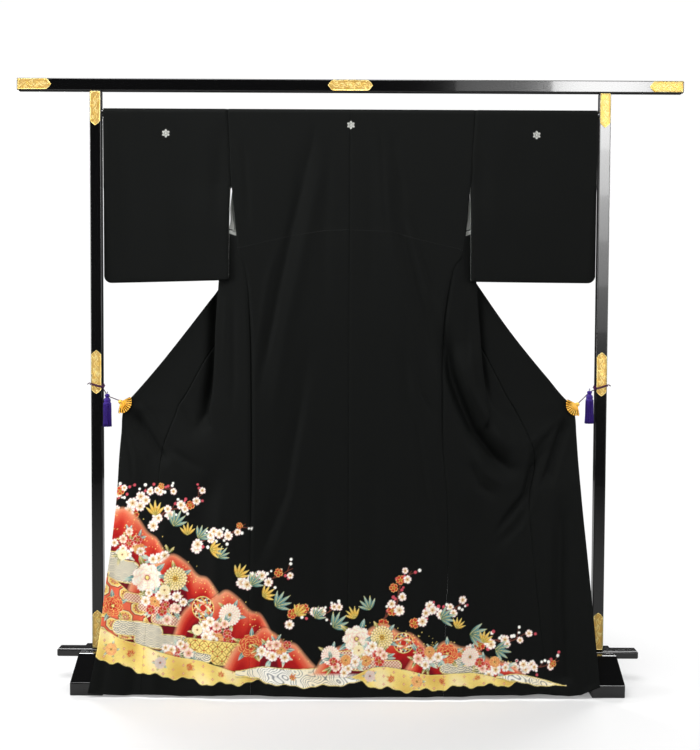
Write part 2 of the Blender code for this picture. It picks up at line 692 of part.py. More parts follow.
def make_plates(gold):
    bar_low, bar_high = BAR_Z - BAR_HEIGHT / 2, BAR_Z + BAR_HEIGHT / 2
    end = BAR_LENGTH / 2 - EDGE - 0.001 - BAR_END_PLATE / 2
    bar_width = BAR_HEIGHT - 2 * EDGE
    post_width = POST_WIDTH - 2 * EDGE
    top_z = bar_low - TOUCH - EDGE - POST_TOP_PLATE / 2
    foot_z = RAIL_TOP + TOUCH + EDGE + POST_FOOT_PLATE / 2
    fittings = [
        ("plate_bar_left", "bar", -end, BAR_Z, BAR_END_PLATE, (False, True)),
        ("plate_bar_middle", "bar", 0, BAR_Z, BAR_MID_PLATE, (True, True)),
        ("plate_bar_right", "bar", end, BAR_Z, BAR_END_PLATE, (True, False)),
    ]
    for side, label in ((-1, "left"), (1, "right")):
        x = side * POST_X
        fittings += [
            (f"plate_{label}_top", "post", x, top_z, POST_TOP_PLATE, (True, False)),
            (f"plate_{label}_middle", "post", x, POST_MID_PLATE_Z, POST_MID_PLATE, (True, True)),
            (f"plate_{label}_foot", "post", x, foot_z, POST_FOOT_PLATE, (False, True)),
        ]
    for name, kind, x, z, length, points in fittings:
        width, depth = (bar_width, BAR_DEPTH) if kind == "bar" else (post_width, POST_DEPTH)
        shape = plate_outline(length, width, points)
        outline = [(x + u, z + v) if kind == "bar" else (x + v, z + u) for u, v in shape]
        for face, suffix in ((-1, ""), (1, "_rear")):
            span = sorted((face * (depth / 2 + TOUCH), face * (depth / 2 + TOUCH + PLATE)))
            make_prism(name + suffix, outline, *span, 1, gold)


CLIPS = {
    -1: {"x": 0.6420, "z": 0.7870, "tassel_x": 0.6740, "tassel_z": 0.8125},
    1: {"x": 0.6400, "z": 0.7850, "tassel_x": 0.6695, "tassel_z": 0.8200},
}


def make_clip(side, label, gold):
    """A ribbed fan in front of the cloth and a jaw behind it, on one barrel outside its edge."""
    x, z = CLIPS[side]["x"], CLIPS[side]["z"]
    steps = 2 * FAN_BLADES
    grid = []
    for k in range(steps + 1):
        a = math.radians(FAN_FROM + (FAN_TO - FAN_FROM) * k / steps)
        fold = 0.0007 * (-1) ** k
        grid.append(
            [
                (side * (x + r * math.cos(a)), CLIP_FRONT_Y + fold * r / FAN_R, z + r * math.sin(a))
                for r in (FAN_INNER_R, FAN_R * 0.6, FAN_R - 0.0015 * (k % 2))
            ]
        )
    fan = grid_wall(f"clip_{label}", np.array(grid), gold, 0.0014)
    boss = make_prism(
        f"boss_{label}", circle(side * x, z, 0.0074, 16), CLIP_FRONT_Y - 0.0013, CLIP_FRONT_Y + 0.0012, 1, gold
    )
    barrel = make_prism(
        f"barrel_{label}", circle(side * x, z, BARREL_R, 12), CLIP_FRONT_Y - 0.0020, CLIP_REAR_Y + 0.0014, 1, gold
    )
    tips = [
        (side * (x + 0.027 * math.cos(a)), z + 0.027 * math.sin(a))
        for a in (math.radians(FAN_FROM + share * (FAN_TO - FAN_FROM)) for share in (0.2, 0.5, 0.8))
    ]
    jaw = make_prism(
        f"jaw_{label}", [(side * x, z), *tips], CLIP_REAR_Y - 0.0008, CLIP_REAR_Y + 0.0008, 1, gold
    )
    for other in (boss, barrel, jaw):
        join(fan, other)


def make_cord(side, label, look):
    """A thin cord from the clip's barrel past the tassel's knot to the post, and round it."""
    sizes = CLIPS[side]
    out = CORD_R + 0.0005
    front = -POST_DEPTH / 2 - TOUCH - PLATE - out
    near, far = POST_X - POST_WIDTH / 2 - out, POST_X + POST_WIDTH / 2 + out
    start_x, start_z = sizes["x"] + 0.0033, sizes["z"] + 0.0033
    hang_x, hang_z = sizes["tassel_x"], sizes["tassel_z"] - 0.006
    tie_y = TASSEL_Y + 0.0052 + TOUCH + CORD_R
    quarter = [
        (start_x, CLIP_FRONT_Y + 0.0045, start_z),
        ((start_x + hang_x) / 2, tie_y, (start_z + hang_z) / 2 - 0.0005),
        (hang_x, tie_y, hang_z),
        ((hang_x + near) / 2 + 0.001, tie_y - 0.001, (hang_z + CORD_Z) / 2 + 0.001),
    ]
    loop = [
        (near + 0.0006, front + 0.0018, -0.0012), (near + 0.0042, front, 0), (POST_X, front - 0.0003, 0.001),
        (far - 0.0042, front, 0.0014), (far - 0.0006, front + 0.0018, 0.0016), (far, front + 0.0060, 0.0018),
        (far + 0.0003, 0, 0.002), (far, -front - 0.0060, 0.002), (far - 0.0006, -front - 0.0018, 0.002),
        (far - 0.0042, -front, 0.002), (POST_X, -front + 0.0003, 0.0015), (near + 0.0042, -front, 0.001),
        (near + 0.0006, -front - 0.0018, 0.001), (near, -front - 0.0060, 0.0008), (near - 0.0002, -0.004, 0.0006),
    ]
    route = quarter + [(x, y, CORD_Z + up) for x, y, up in loop]
    curve = bpy.data.curves.new(f"cord_{label}", "CURVE")
    curve.dimensions = "3D"
    curve.bevel_depth = CORD_R
    curve.bevel_resolution = 1
    curve.use_fill_caps = True
    line = curve.splines.new("POLY")
    line.points.add(len(route) - 1)
    for point, (x, y, z) in zip(line.points, route):
        point.co = (side * x, y, z, 1)
    curve.materials.append(look)
    obj = bpy.data.objects.new(f"cord_{label}", curve)
    bpy.context.scene.collection.objects.link(obj)


def make_tassel(side, label, look):
    """A knot, a bound head and its strands, which spread a little below the binding."""
    sizes = CLIPS[side]
    centre = np.array([side * sizes["tassel_x"], TASSEL_Y])
    top = sizes["tassel_z"]
    profile = (
        (0.0018, 0.0), (0.0048, 0.0025), (0.0052, 0.0065), (0.0026, 0.0100), (0.0058, 0.0135),
        (0.0066, 0.0200), (0.0054, 0.0225), (0.0070, 0.0260),
    )
    sides = 12
    edit = bmesh.new()
    rings = [
        [
            edit.verts.new((*(centre + radius * np.array([math.cos(a), math.sin(a)])), top - down))
            for a in (2 * math.pi * k / sides for k in range(sides))
        ]
        for radius, down in profile
    ]
    edit.faces.new(rings[0])
    for upper, lower in zip(rings, rings[1:]):
        for k in range(sides):
            edit.faces.new((upper[k], lower[k], lower[(k + 1) % sides], upper[(k + 1) % sides]))
    # The head's underside: a ring of squares round six inner ones, and each carries a strand.
    radius, down = profile[-1]
    middle = [
        edit.verts.new((*(centre + 0.55 * radius * np.array([math.cos(a), math.sin(a)])), top - down))
        for a in (2 * math.pi * k / sides for k in range(sides))
    ]
    heart = edit.verts.new((*centre, top - down))
    roots = []
    for k in range(sides):
        roots.append(edit.faces.new((rings[-1][k], middle[k], middle[(k + 1) % sides], rings[-1][(k + 1) % sides])))
    for k in range(0, sides, 2):
        roots.append(edit.faces.new((middle[k], heart, middle[(k + 2) % sides], middle[(k + 1) % sides])))
    bmesh.ops.recalc_face_normals(edit, faces=edit.faces)
    bmesh.ops.inset_individual(edit, faces=roots, thickness=0.00035)
    strands = TASSEL_LENGTH - down
    for share, spread in ((0.45, 1.26), (0.55, 1.12)):
        moved = bmesh.ops.extrude_discrete_faces(edit, faces=roots)
        roots = moved["faces"]
        for face in roots:
            place = np.array(face.calc_center_median())[:2] - centre
            for vert in face.verts:
                vert.co.x += place[0] * (spread - 1)
                vert.co.y += place[1] * (spread - 1)
                vert.co.z -= strands * share
    mesh = bpy.data.meshes.new(f"tassel_{label}")
    edit.to_mesh(mesh)
    edit.free()
    mesh.materials.append(look)
    obj = bpy.data.objects.new(f"tassel_{label}", mesh)
    bpy.context.scene.collection.objects.link(obj)


def main():
    start()
    silk = material("black silk crepe", SILK, 0.55)
    white = material("white silk lining", WHITE_SILK, 0.6)
    wood = material("black lacquer", LACQUER, 0.12)
    gold = material("gilt brass", GOLD, 0.28, 1.0)
    purple = material("purple silk cord", PURPLE, 0.6)
    for side, label in ((-1, "left"), (1, "right")):
        make_back(side, label, silk)
        make_front(side, label, silk)
        make_okumi(side, label, silk)
        make_lining(side, label, white)
        make_sleeve(side, label, silk)
        make_clip(side, label, gold)
        make_cord(side, label, purple)
        make_tassel(side, label, purple)
    make_collar(silk)
    make_stand(wood)
    make_plates(gold)
    for obj in bpy.data.objects:
        obj.data.transform(Matrix.Translation((0, -DEPTH_MIDDLE, 0)))


main()
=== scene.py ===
import json
import math

import bmesh
import bpy
import numpy as np
from mathutils import Matrix, Vector

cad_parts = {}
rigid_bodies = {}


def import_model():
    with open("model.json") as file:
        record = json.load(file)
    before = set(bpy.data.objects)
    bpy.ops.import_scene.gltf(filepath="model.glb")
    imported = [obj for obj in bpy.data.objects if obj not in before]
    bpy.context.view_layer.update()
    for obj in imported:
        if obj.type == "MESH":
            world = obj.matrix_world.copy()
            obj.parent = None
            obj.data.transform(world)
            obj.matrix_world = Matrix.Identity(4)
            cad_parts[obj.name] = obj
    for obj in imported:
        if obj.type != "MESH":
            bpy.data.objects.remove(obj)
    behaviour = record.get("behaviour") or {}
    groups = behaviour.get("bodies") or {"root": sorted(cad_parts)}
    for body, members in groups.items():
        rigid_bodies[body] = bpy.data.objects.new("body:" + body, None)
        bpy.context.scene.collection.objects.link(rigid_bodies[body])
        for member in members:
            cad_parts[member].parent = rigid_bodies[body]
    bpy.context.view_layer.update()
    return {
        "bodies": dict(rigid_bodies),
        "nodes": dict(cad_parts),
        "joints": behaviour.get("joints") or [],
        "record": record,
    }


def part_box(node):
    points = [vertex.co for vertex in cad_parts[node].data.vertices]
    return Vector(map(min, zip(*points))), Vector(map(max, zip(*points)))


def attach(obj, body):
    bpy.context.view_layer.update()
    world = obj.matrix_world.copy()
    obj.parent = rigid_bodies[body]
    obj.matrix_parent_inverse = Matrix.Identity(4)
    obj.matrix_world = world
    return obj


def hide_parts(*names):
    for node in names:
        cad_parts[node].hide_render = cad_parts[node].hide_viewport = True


# A formal black kimono hung by its sleeves on a lacquered stand, its back to the viewer.
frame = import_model()
mm = 0.001
rodLow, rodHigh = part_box("hanging_rod")
rodZ = (rodLow.z + rodHigh.z) / 2
rodY = (rodLow.y + rodHigh.y) / 2  # the plane of the posts
rodRadius = (rodHigh.y - rodLow.y) / 2 / math.cos(math.pi / 16)
print("frame loaded:", len(frame["nodes"]), "nodes")


# Meshes

def addMesh(name, points, quads, tris=(), materials=()):
    mesh = bpy.data.meshes.new(name)
    quads = np.asarray(quads, np.int32).reshape(-1, 4)
    tris = np.asarray(tris, np.int32).reshape(-1, 3)
    points = np.asarray(points, np.float32)
    mesh.vertices.add(len(points))
    mesh.vertices.foreach_set("co", points.ravel())
    corners = np.concatenate([quads.ravel(), tris.ravel()])
    counts = np.concatenate([np.full(len(quads), 4), np.full(len(tris), 3)])
    mesh.loops.add(len(corners))
    mesh.loops.foreach_set("vertex_index", corners)
    mesh.polygons.add(len(counts))
    mesh.polygons.foreach_set("loop_start", (np.cumsum(counts) - counts).astype(np.int32))
    mesh.update(calc_edges=True)
    for made in materials:
        mesh.materials.append(made)
    mesh.shade_smooth()
    return addObject(name, mesh)


def addObject(name, data):
    obj = bpy.data.objects.new(name, data)
    bpy.context.scene.collection.objects.link(obj)
    return obj


def addValues(obj, name, kind, field, values):
    # one value for each point of a mesh
    made = obj.data.attributes.new(name, kind, "POINT")
    made.data.foreach_set(field, np.asarray(values, np.float32).ravel())


noTris = np.empty((0, 3), int)


def finishPiece(obj, slot, *nodes):
    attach(obj, "root")
    if nodes:
        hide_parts(*nodes)
    return obj


def gridFaces(rows, cols, first=0, present=None):
    r, c = np.meshgrid(np.arange(rows - 1), np.arange(cols - 1), indexing="ij")
    corner = first + r * cols + c
    quads = np.stack([corner, corner + 1, corner + cols + 1, corner + cols], -1)
    return quads[present] if present is not None else quads.reshape(-1, 4)


def ringFaces(rows, count):
    # quads of a tube whose points go round in rows of the same count
    return [(a + k, a + (k + 1) % count, a + count + (k + 1) % count, a + count + k)
            for a in range(0, (rows - 1) * count, count) for k in range(count)]


def zipRows(upper, lower, upperPlaces, lowerPlaces):
    # triangles between two rows of points with different counts, by their places along the row
    tris, i, k = [], 0, 0
    lastUpper, lastLower = len(upper) - 1, len(lower) - 1
    while i < lastUpper or k < lastLower:
        if i < lastUpper and (k == lastLower or upperPlaces[i + 1] <= lowerPlaces[k + 1]):
            tris.append((upper[i], upper[i + 1], lower[k]))
            i += 1
        else:
            tris.append((upper[i], lower[k + 1], lower[k]))
            k += 1
    return tris


def faceNormals(points, quads, tris=noTris):
    # soft normals at the points of a sheet
    made = np.zeros_like(points)
    for faces, (a, b), (c, d) in ((quads, (0, 2), (1, 3)), (tris, (0, 1), (0, 2))):
        crossed = np.cross(points[faces[:, b]] - points[faces[:, a]],
                           points[faces[:, d]] - points[faces[:, c]])
        for k in range(faces.shape[1]):
            np.add.at(made, faces[:, k], crossed)
    return made / np.maximum(np.linalg.norm(made, axis=1, keepdims=True), 1e-12)


def borderLoops(quads, tris=noTris):
    # the open borders of a sheet, each as an ordered loop of point numbers
    edges = [quads[:, [k, (k + 1) % 4]] for k in range(4)] + [tris[:, [k, (k + 1) % 3]] for k in range(3)]
    edges = np.concatenate(edges)
    key = edges.min(axis=1).astype(np.int64) * (int(edges.max()) + 1) + edges.max(axis=1)
    _, index, counts = np.unique(key, return_index=True, return_counts=True)
    onward = {int(a): int(b) for a, b in edges[index[counts == 1]]}
    loops = []
    while onward:
        start, here = next(iter(onward.items()))
        del onward[start]
        loop = [start]
        while here != start:
            loop.append(here)
            here = onward.pop(here)
        loops.append(loop)
    return loops


def zipLoops(points, first, second):
    # closes the gap between two loops that run the same way, always by the shorter diagonal
    start = int(((points[second] - points[first[0]]) ** 2).sum(axis=1).argmin())
    first, second = first + first[:1], second[start:] + second[:start + 1]
    a, b = points[first], points[second]
    tris, i, k = [], 0, 0
    while i < len(a) - 1 or k < len(b) - 1:
        aStep = ((a[i + 1] - b[k]) ** 2).sum() if i < len(a) - 1 else 9
        bStep = ((b[k + 1] - a[i]) ** 2).sum() if k < len(b) - 1 else 9
        if aStep <= bStep:
            tris.append((first[i + 1], first[i], second[k]))
            i += 1
        else:
            tris.append((first[i], second[k], second[k + 1]))
            k += 1
    return tris


class Sheet:
    # the middle surface of a cloth panel, gathered from blocks of different fineness
    def __init__(self):
        self.points, self.quads, self.tris, self.count = [], [], [], 0
        self.last = None

    def addBlock(self, grid, places, present=None):
        rows, cols = grid.shape[:2]
        numbers = self.count + np.arange(rows * cols).reshape(rows, cols)
        self.quads.append(gridFaces(rows, cols, self.count, present))
        if self.last is not None:
            self.tris += zipRows(self.last[0], numbers[0], self.last[1], places)
        self.points.append(grid.reshape(-1, 3))
        self.last = (numbers[-1], places)
        self.count += rows * cols

    def gather(self):
        return onlyUsed(np.concatenate(self.points), np.concatenate(self.quads),
                        np.array(self.tris, int).reshape(-1, 3))


def onlyUsed(points, quads, tris=noTris):
    # leaves out the points that no face uses
    used = np.zeros(len(points), bool)
    used[quads] = True
    used[tris] = True
    renumber = np.cumsum(used) - 1
    return points[used], renumber[quads], renumber[tris]


def closedShell(outer, inner, wall, edgeShare=0.45):
    # a wall between two sheets on the same middle surface: returns points, quads, tris and the outer count
    (a, aQuads, aTris), (b, bQuads, bTris) = outer, inner
    aNormals, bNormals = faceNormals(a, aQuads, aTris), faceNormals(b, bQuads, bTris)
    aLoops, bLoops = borderLoops(aQuads, aTris), borderLoops(bQuads, bTris)
    aOut = np.full(len(a), wall / 2)
    for loop in aLoops:
        aOut[loop] *= edgeShare
    points = np.concatenate([a + aNormals * aOut[:, None], b - bNormals * wall / 2])
    tris = [aTris, bTris[:, ::-1] + len(a)]
    for loop in aLoops:
        middle = a[loop].mean(axis=0)
        other = min(bLoops, key=lambda place: ((b[place].mean(axis=0) - middle) ** 2).sum())
        tris.append(np.array(zipLoops(points, loop, [number + len(a) for number in other])))
    return points, np.concatenate([aQuads, bQuads[:, ::-1] + len(a)]), np.concatenate(tris), len(a)


def spaced(*runs):
    # values from each run's start down to its end, no further apart than its step
    values = [runs[0][0]]
    for start, end, step in runs:
        count = max(int(math.ceil(abs(end - start) / step)), 1)
        values += [start + (end - start) * (k + 1) / count for k in range(count)]
    return np.array(values)


# The cloth: sections worked out from tables, one row for each height

cloth = {
    "wall": 0.0020,
    "liningWall": 0.0012,
    "seamGap": 0.00002,
    "creaseGain": 1.45, "farGain": 1.1,  # how much deeper the creases are than the table says
    "layerGap": 0.008,  # between the layers of the front fold
    "nose": 0.0035,
    "hemZ": 0.010,
    "lean": 0.168,  # how far the hem stands in front of the rod
    "leanPower": 1.35,
    "seamTopZ": 1.246,
    "slitRise": 0.024,
    "okumiTop": 1.330,
    "lapelTopZ": 1.565,
    "hemBlend": 0.16,
    "tuckZ": 1.2640,  # the sewn tuck across the back
    "tuckStep": 0.0009,
    "paintStep": 0.0016,  # spacing of the points that carry the painting
    "paintTop": {"okumi": {-1: 0.60, 1: 0.20}, "front": {-1: 0.58, 1: 0.34}, "back": {-1: 0.42, 1: 0.40}},
}
drapeRadius = rodRadius + 0.0005 + cloth["wall"] / 2


def columns(names, *rows):
    values = np.array(rows, float) * mm
    return {name: values[::-1, i] for i, name in enumerate(names.split())}


backTable = {
    -1: columns(
        "z back",
        (1605, 340.5), (1500, 334.2), (1388, 327.6), (1320, 317.0), (1246, 306.4), (1128, 283.0),
        (990, 272.5), (760, 266.5), (366, 265.5), (153, 265.0), (0, 259.0),
    ),
    1: columns(
        "z back",
        (1605, 347.0), (1500, 340.2), (1388, 333.1), (1320, 324.0), (1252, 311.9), (1128, 280.7),
        (1028, 264.0), (883, 257.5), (687, 257.0), (543, 268.0), (366, 271.7), (198, 263.5), (0, 257.0),
    ),
}
frontTable = {
    -1: columns(
        "z fold foldY tuck okumi edge edgeY",
        (1605, 340.5, 11.5, 85, 85, 85, 19.0), (1565, 338.1, 11.5, 87, 100, 100, 19.5),
        (1500, 334.2, 11.0, 100, 125, 125, 19.5), (1388, 327.6, 8.0, 134, 187, 187, 17.5),
        (1330, 333.0, 3.0, 155, 212, 219, 14.0), (1270, 337.0, -5.5, 181, 236, 256, 8.0),
        (1246, 351.0, -11.0, 191, 245, 264, 5.5), (1121, 361.0, -20.0, 240, 289, 352, 0.5),
        (980, 369.1, -32.0, 285, 352, 458, -6.0), (889, 370.9, -40.0, 322, 404, 530, -9.0),
        (803, 377.0, -48.0, 354, 449, 604, -12.0), (780, 381.0, -51.0, 363, 464, 625, -13.0),
        (752, 386.0, -54.0, 371, 474, 632, -14.5), (700, 396.0, -60.0, 384, 495, 634, -23.0),
        (659, 404.0, -66.0, 394, 508, 636, -31.0), (520, 404.0, -88.0, 394, 518, 641, -58.0),
        (413, 404.0, -104.0, 394, 524, 649, -80.0), (281, 404.0, -127.0, 394, 533, 663, -109.0),
        (151, 404.0, -145.0, 394, 542, 674, -139.0), (0, 404.0, -170.0, 394, 549, 700, -172.0),
    ),
    1: columns(
        "z fold foldY tuck okumi edge edgeY",
        (1605, 347.0, 11.5, 85, 85, 85, 19.0), (1565, 344.4, 11.5, 87, 100, 100, 19.5),
        (1500, 340.2, 11.0, 100, 125, 125, 19.5), (1388, 333.1, 8.0, 134, 185, 185, 17.5),
        (1330, 335.5, 3.0, 152, 208, 215, 14.0), (1287, 337.0, -2.0, 168, 224, 241, 9.5),
        (1250, 346.0, -9.0, 184, 240, 267, 6.0), (1121, 350.0, -20.0, 232, 288, 355, 0.5),
        (980, 361.0, -32.0, 276, 345, 455, -6.0), (858, 370.5, -42.0, 318, 405, 555, -10.0),
        (795, 379.0, -49.0, 346, 436, 610, -12.0), (780, 382.0, -51.0, 352, 445, 627, -13.0),
        (752, 387.0, -54.0, 362, 462, 632, -14.5), (700, 396.0, -60.0, 380, 489, 635, -23.0),
        (636, 404.0, -68.0, 392, 509, 638, -35.0), (540, 404.0, -84.0, 394, 489, 644, -56.0),
        (382, 404.0, -109.0, 394, 496, 656, -89.0), (144, 404.0, -148.0, 394, 517, 672, -141.0),
        (0, 404.0, -170.0, 394, 535, 680, -168.0),
    ),
}
sleeveWalls = columns(
    "z front rear cuff",
    (1592, -11.5, 11.5, 11.5), (1500, -15.0, 11.0, 9.5), (1388, -21.1, 8.0, 8.0),
    (1350, -26.0, -2.5, 7.5), (1310, -30.5, -16.0, 7.0), (1280, -33.0, -24.5, 6.5),
    (1246, -35.0, -28.5, 6.0), (1200, -38.5, -32.0, 5.5), (1126, -43.5, -37.0, 4.5),
)
sleeveSizes = {
    -1: {"seamTop": 0.3405, "seamFoot": 0.3276, "inner": 0.3327, "outer": 0.6840, "foot": (1.1265, 1.1185)},
    1: {"seamTop": 0.3470, "seamFoot": 0.3331, "inner": 0.3340, "outer": 0.6850, "foot": (1.1250, 1.1240)},
}
hemX = (
    -0.701, -0.653, -0.596, -0.518, -0.443, -0.358, -0.293, -0.102, 0.0, 0.087, 0.342, 0.406, 0.469,
    0.511, 0.549, 0.596, 0.629, 0.676,
)
hemUp = (
    0.012, 0.008, 0.005, 0.009, 0.005, 0.009, 0.012, 0.007, 0.006, 0.008, 0.010, 0.012, 0.010,
    0.014, 0.012, 0.008, 0.012, 0.032,
)
# Soft folds: (x, z) along each, half its width and how far it falls back (+) or stands out (-), mm.
folds = {
    -1: (
        ((110, 1540), (155, 1260), (225, 960), (240, 800), 19, 6),
        ((108, 980), (139, 757), (190, 525), (250, 330), 22, 5),
        ((70, 1500), (118, 1260), (180, 960), (215, 700), 20, -5),
        ((605, 765), (572, 705), (535, 660), (500, 610), 22, 9),
        ((625, 700), (600, 560), (590, 400), (585, 230), 30, -8),
        ((330, 640), (400, 500), (420, 330), (425, 60), 36, 8),
        ((330, 520), (320, 380), (318, 200), (316, 20), 30, -6),
    ),
    1: (
        ((117, 1480), (153, 1260), (210, 1020), (236, 860), 17, 7),
        ((146, 980), (172, 690), (220, 420), (246, 330), 18, 7),
        ((75, 1500), (110, 1260), (170, 960), (195, 700), 20, -5),
        ((262, 1010), (270, 940), (276, 893), (284, 857), (316, 772), (344, 711), (403, 637), (440, 607),
         (486, 606), 22, 20),
        ((266, 960), (279, 870), (312, 780), (342, 714), (400, 640), (437, 612), (470, 610), 12, 7),
        ((322, 960), (340, 830), (385, 740), (430, 680), (470, 668), 24, -17),
        ((612, 745), (588, 670), (565, 605), (546, 550), 18, 9),
        ((566, 690), (520, 633), (492, 490), (460, 445), (388, 390), 18, 7),
        ((600, 560), (590, 430), (575, 260), (570, 60), 32, 9),
        ((330, 560), (345, 400), (352, 220), (355, 30), 34, 7),
    ),
}


def read(table, name, z):
    # a column at heights z, on a smooth curve through the table's rows
    zs, values = table["z"], table[name]
    slopes = np.gradient(values, zs)
    z = np.clip(z, zs[0], zs[-1])
    i = np.clip(np.searchsorted(zs, z, side="right") - 1, 0, len(zs) - 2)
    run = zs[i + 1] - zs[i]
    t = (z - zs[i]) / run
    return (
        values[i] * (1 + 2 * t) * (1 - t) ** 2 + slopes[i] * run * t * (1 - t) ** 2
        + values[i + 1] * t * t * (3 - 2 * t) + slopes[i + 1] * run * t * t * (t - 1)
    )


def ease(low, high, value):
    t = np.clip((value - low) / (high - low), 0.0, 1.0)
    return t * t * (3 - 2 * t)


def lean(z):
    share = np.maximum((rodZ - z) / (rodZ - cloth["hemZ"]), 0.0)
    return -drapeRadius - cloth["lean"] * share ** cloth["leanPower"]


def lineDistance(line, x, z):
    # distance to a line through points, and the share along it of the nearest place
    line = np.array(line, float) * mm
    starts, runs = line[:-1], line[1:] - line[:-1]
    lengths = np.hypot(*runs.T)
    best, place = np.full(x.shape, 9.0), np.zeros(x.shape)
    done = 0.0
    for (sx, sz), (rx, rz), length in zip(starts, runs, lengths):
        share = np.clip(((x - sx) * rx + (z - sz) * rz) / length**2, 0, 1)
        away = np.hypot(x - sx - share * rx, z - sz - share * rz)
        nearer = away < best
        best = np.where(nearer, away, best)
        place = np.where(nearer, done + share * length, place)
        done += length
    return best, place / done


def furrow(x, z, line, width, height, rise=(-0.03, 0.22), fall=(1.03, 0.78)):
    # one fold or crease: deepest along its line, and running out at its ends
    away, share = lineDistance(line, x, z)
    fade = ease(*rise, share) * (ease(*fall, share) if line[-1][1] > 70 else 1)
    return height * mm * fade * np.exp(-((away / (width * mm)) ** 2))


def foldDepth(side, x, z):
    # x counts outwards
    return sum((furrow(x, z, line, width, height) for *line, width, height in folds[side]),
               np.zeros(x.shape))


def hemHeight(x, z):
    near = 1 - ease(cloth["hemZ"], cloth["hemZ"] + cloth["hemBlend"], z)
    return z + (np.interp(x, hemX, hemUp) - cloth["hemZ"]) * near


def overRod(s):
    # how far a place up the cloth is over the rod: its height and its y before the sign
    angle = math.pi / 2 - (s - rodZ) / drapeRadius
    return rodZ + drapeRadius * np.cos(angle), drapeRadius * np.sin(angle)


def spline(points, t):
    # the uniform cubic B-spline from first to last point, for an array of sections
    ends = np.concatenate([2 * points[:, :1] - points[:, 1:2], points,
                           2 * points[:, -1:] - points[:, -2:-1]], 1)
    i = np.minimum(t.astype(int), points.shape[1] - 2)
    f = t - i
    weights = ((1 - f) ** 3, 3 * f**3 - 6 * f**2 + 4, -3 * f**3 + 3 * f**2 + 3 * f + 1, f**3)
    return sum(w[None, :, None] * ends[:, i + k] for k, w in enumerate(weights)) / 6


def frontSection(side, z):
    table = frontTable[side]
    pair = lambda x, y: np.stack(np.broadcast_arrays(x, y), -1)
    seam = pair(read(backTable[side], "back", z), lean(z) + 0.0005)
    foldX, foldY, tuckX = (read(table, name, z) for name in ("fold", "foldY", "tuck"))
    edge = pair(read(table, "edge", z), read(table, "edgeY", z))
    gap = cloth["layerGap"] * (0.5 + 0.5 * ease(0.66, 0.80, z))
    innerY = foldY + 0.5 * gap * ease(1.34, cloth["seamTopZ"], z)
    okumiX = read(table, "okumi", z)
    share = np.clip((okumiX - tuckX) / np.maximum(edge[:, 0] - tuckX, 1e-6), 0, 1)
    okumi = pair(okumiX, innerY + gap + (edge[:, 1] - innerY - gap) * share**1.3)
    okumi = np.where((z > cloth["okumiTop"])[:, None], edge, okumi)
    outer = pair(foldX + cloth["nose"], foldY - 0.75 * gap)
    tuckOut = pair(tuckX - cloth["nose"], innerY + gap)
    folded = np.stack(
        [
            (seam + outer) / 2, outer, pair(foldX + cloth["nose"], foldY),
         pair(tuckX - cloth["nose"], innerY),
            tuckOut, (pair(tuckX, innerY + gap) + okumi) / 2,
        ],
        1,
    )
    # Above the slit's foot the section is straight up to the front's own edge.
    above = (z > cloth["seamTopZ"] + 0.001)[:, None]
    tuck, sideEdge = folded[:, 3].copy(), pair(foldX, foldY)
    for k in (1, 2, 3):
        folded[:, k - 1] = np.where(above, tuck + (sideEdge - tuck) * (4 - k) / 1.15, folded[:, k - 1])
    seam = np.where(above, tuck + (sideEdge - tuck) * 4 / 1.15, seam)
    shares = (np.arange(1, 7) / 7)[None, :]
    flatX = seam[:, :1] + (okumi[:, :1] - seam[:, :1]) * shares
    flatY = 0.6 * seam[:, 1:] + 0.4 * okumi[:, 1:]
    low = seam[:, 1:] + (flatY - seam[:, 1:]) * shares * 2
    high = flatY + (okumi[:, 1:] - flatY) * (shares * 2 - 1)
    flat = np.stack([flatX, np.where(shares < 0.5, low, high)], -1)
    pleat = ease(0.655, 0.775, z)[:, None, None]
    middle = flat + (folded - flat) * pleat
    hinge = okumi + (edge - okumi) * (0.6, 0.85)
    return np.concatenate([seam[:, None], middle, okumi[:, None], hinge[:, None], edge[:, None]], 1)


def frontPoints(side, s, t):
    # the front and the overlap panel: t runs from the side seam (0) over the overlap seam (7) to the edge (9)
    z = np.where(s > rodZ, overRod(s)[0], s)
    places = spline(frontSection(side, z), t)
    x, y = places[..., 0], places[..., 1]
    zGrid, tGrid = np.broadcast_arrays(z[:, None], t[None, :])
    seamTop = cloth["seamTopZ"]
    top = ease(seamTop - 0.09, seamTop, zGrid) * (zGrid <= seamTop + 0.001)
    ramp = np.where(tGrid < 2.85, np.minimum(tGrid / 2.85, 1), np.maximum(1 - (tGrid - 2.85) / 1.3, 0))
    rise = cloth["slitRise"] * top * ramp
    below = ease(seamTop, seamTop - 0.08, zGrid)
    y = y + foldDepth(side, x, zGrid) + creaseDepth(side, x, zGrid, tGrid)
    y = y + seamTrough(side, x - read(backTable[side], "back", z)[:, None], zGrid) * below
    height = hemHeight(side * x, zGrid + rise)
    over = (s > rodZ)[:, None]
    rod = overRod(s)[1][:, None]
    y = np.where(over, rod, y)
    return np.stack([side * x, y + rodY, height], -1)


def tuckLine(x):
    # height of the sewn tuck across the back
    return np.interp(x, (-0.301, -0.165, -0.065, 0.0, 0.112, 0.201, 0.295, 0.328),
                     (1.214, 1.246, 1.262, 1.264, 1.260, 1.236, 1.214, 1.203))


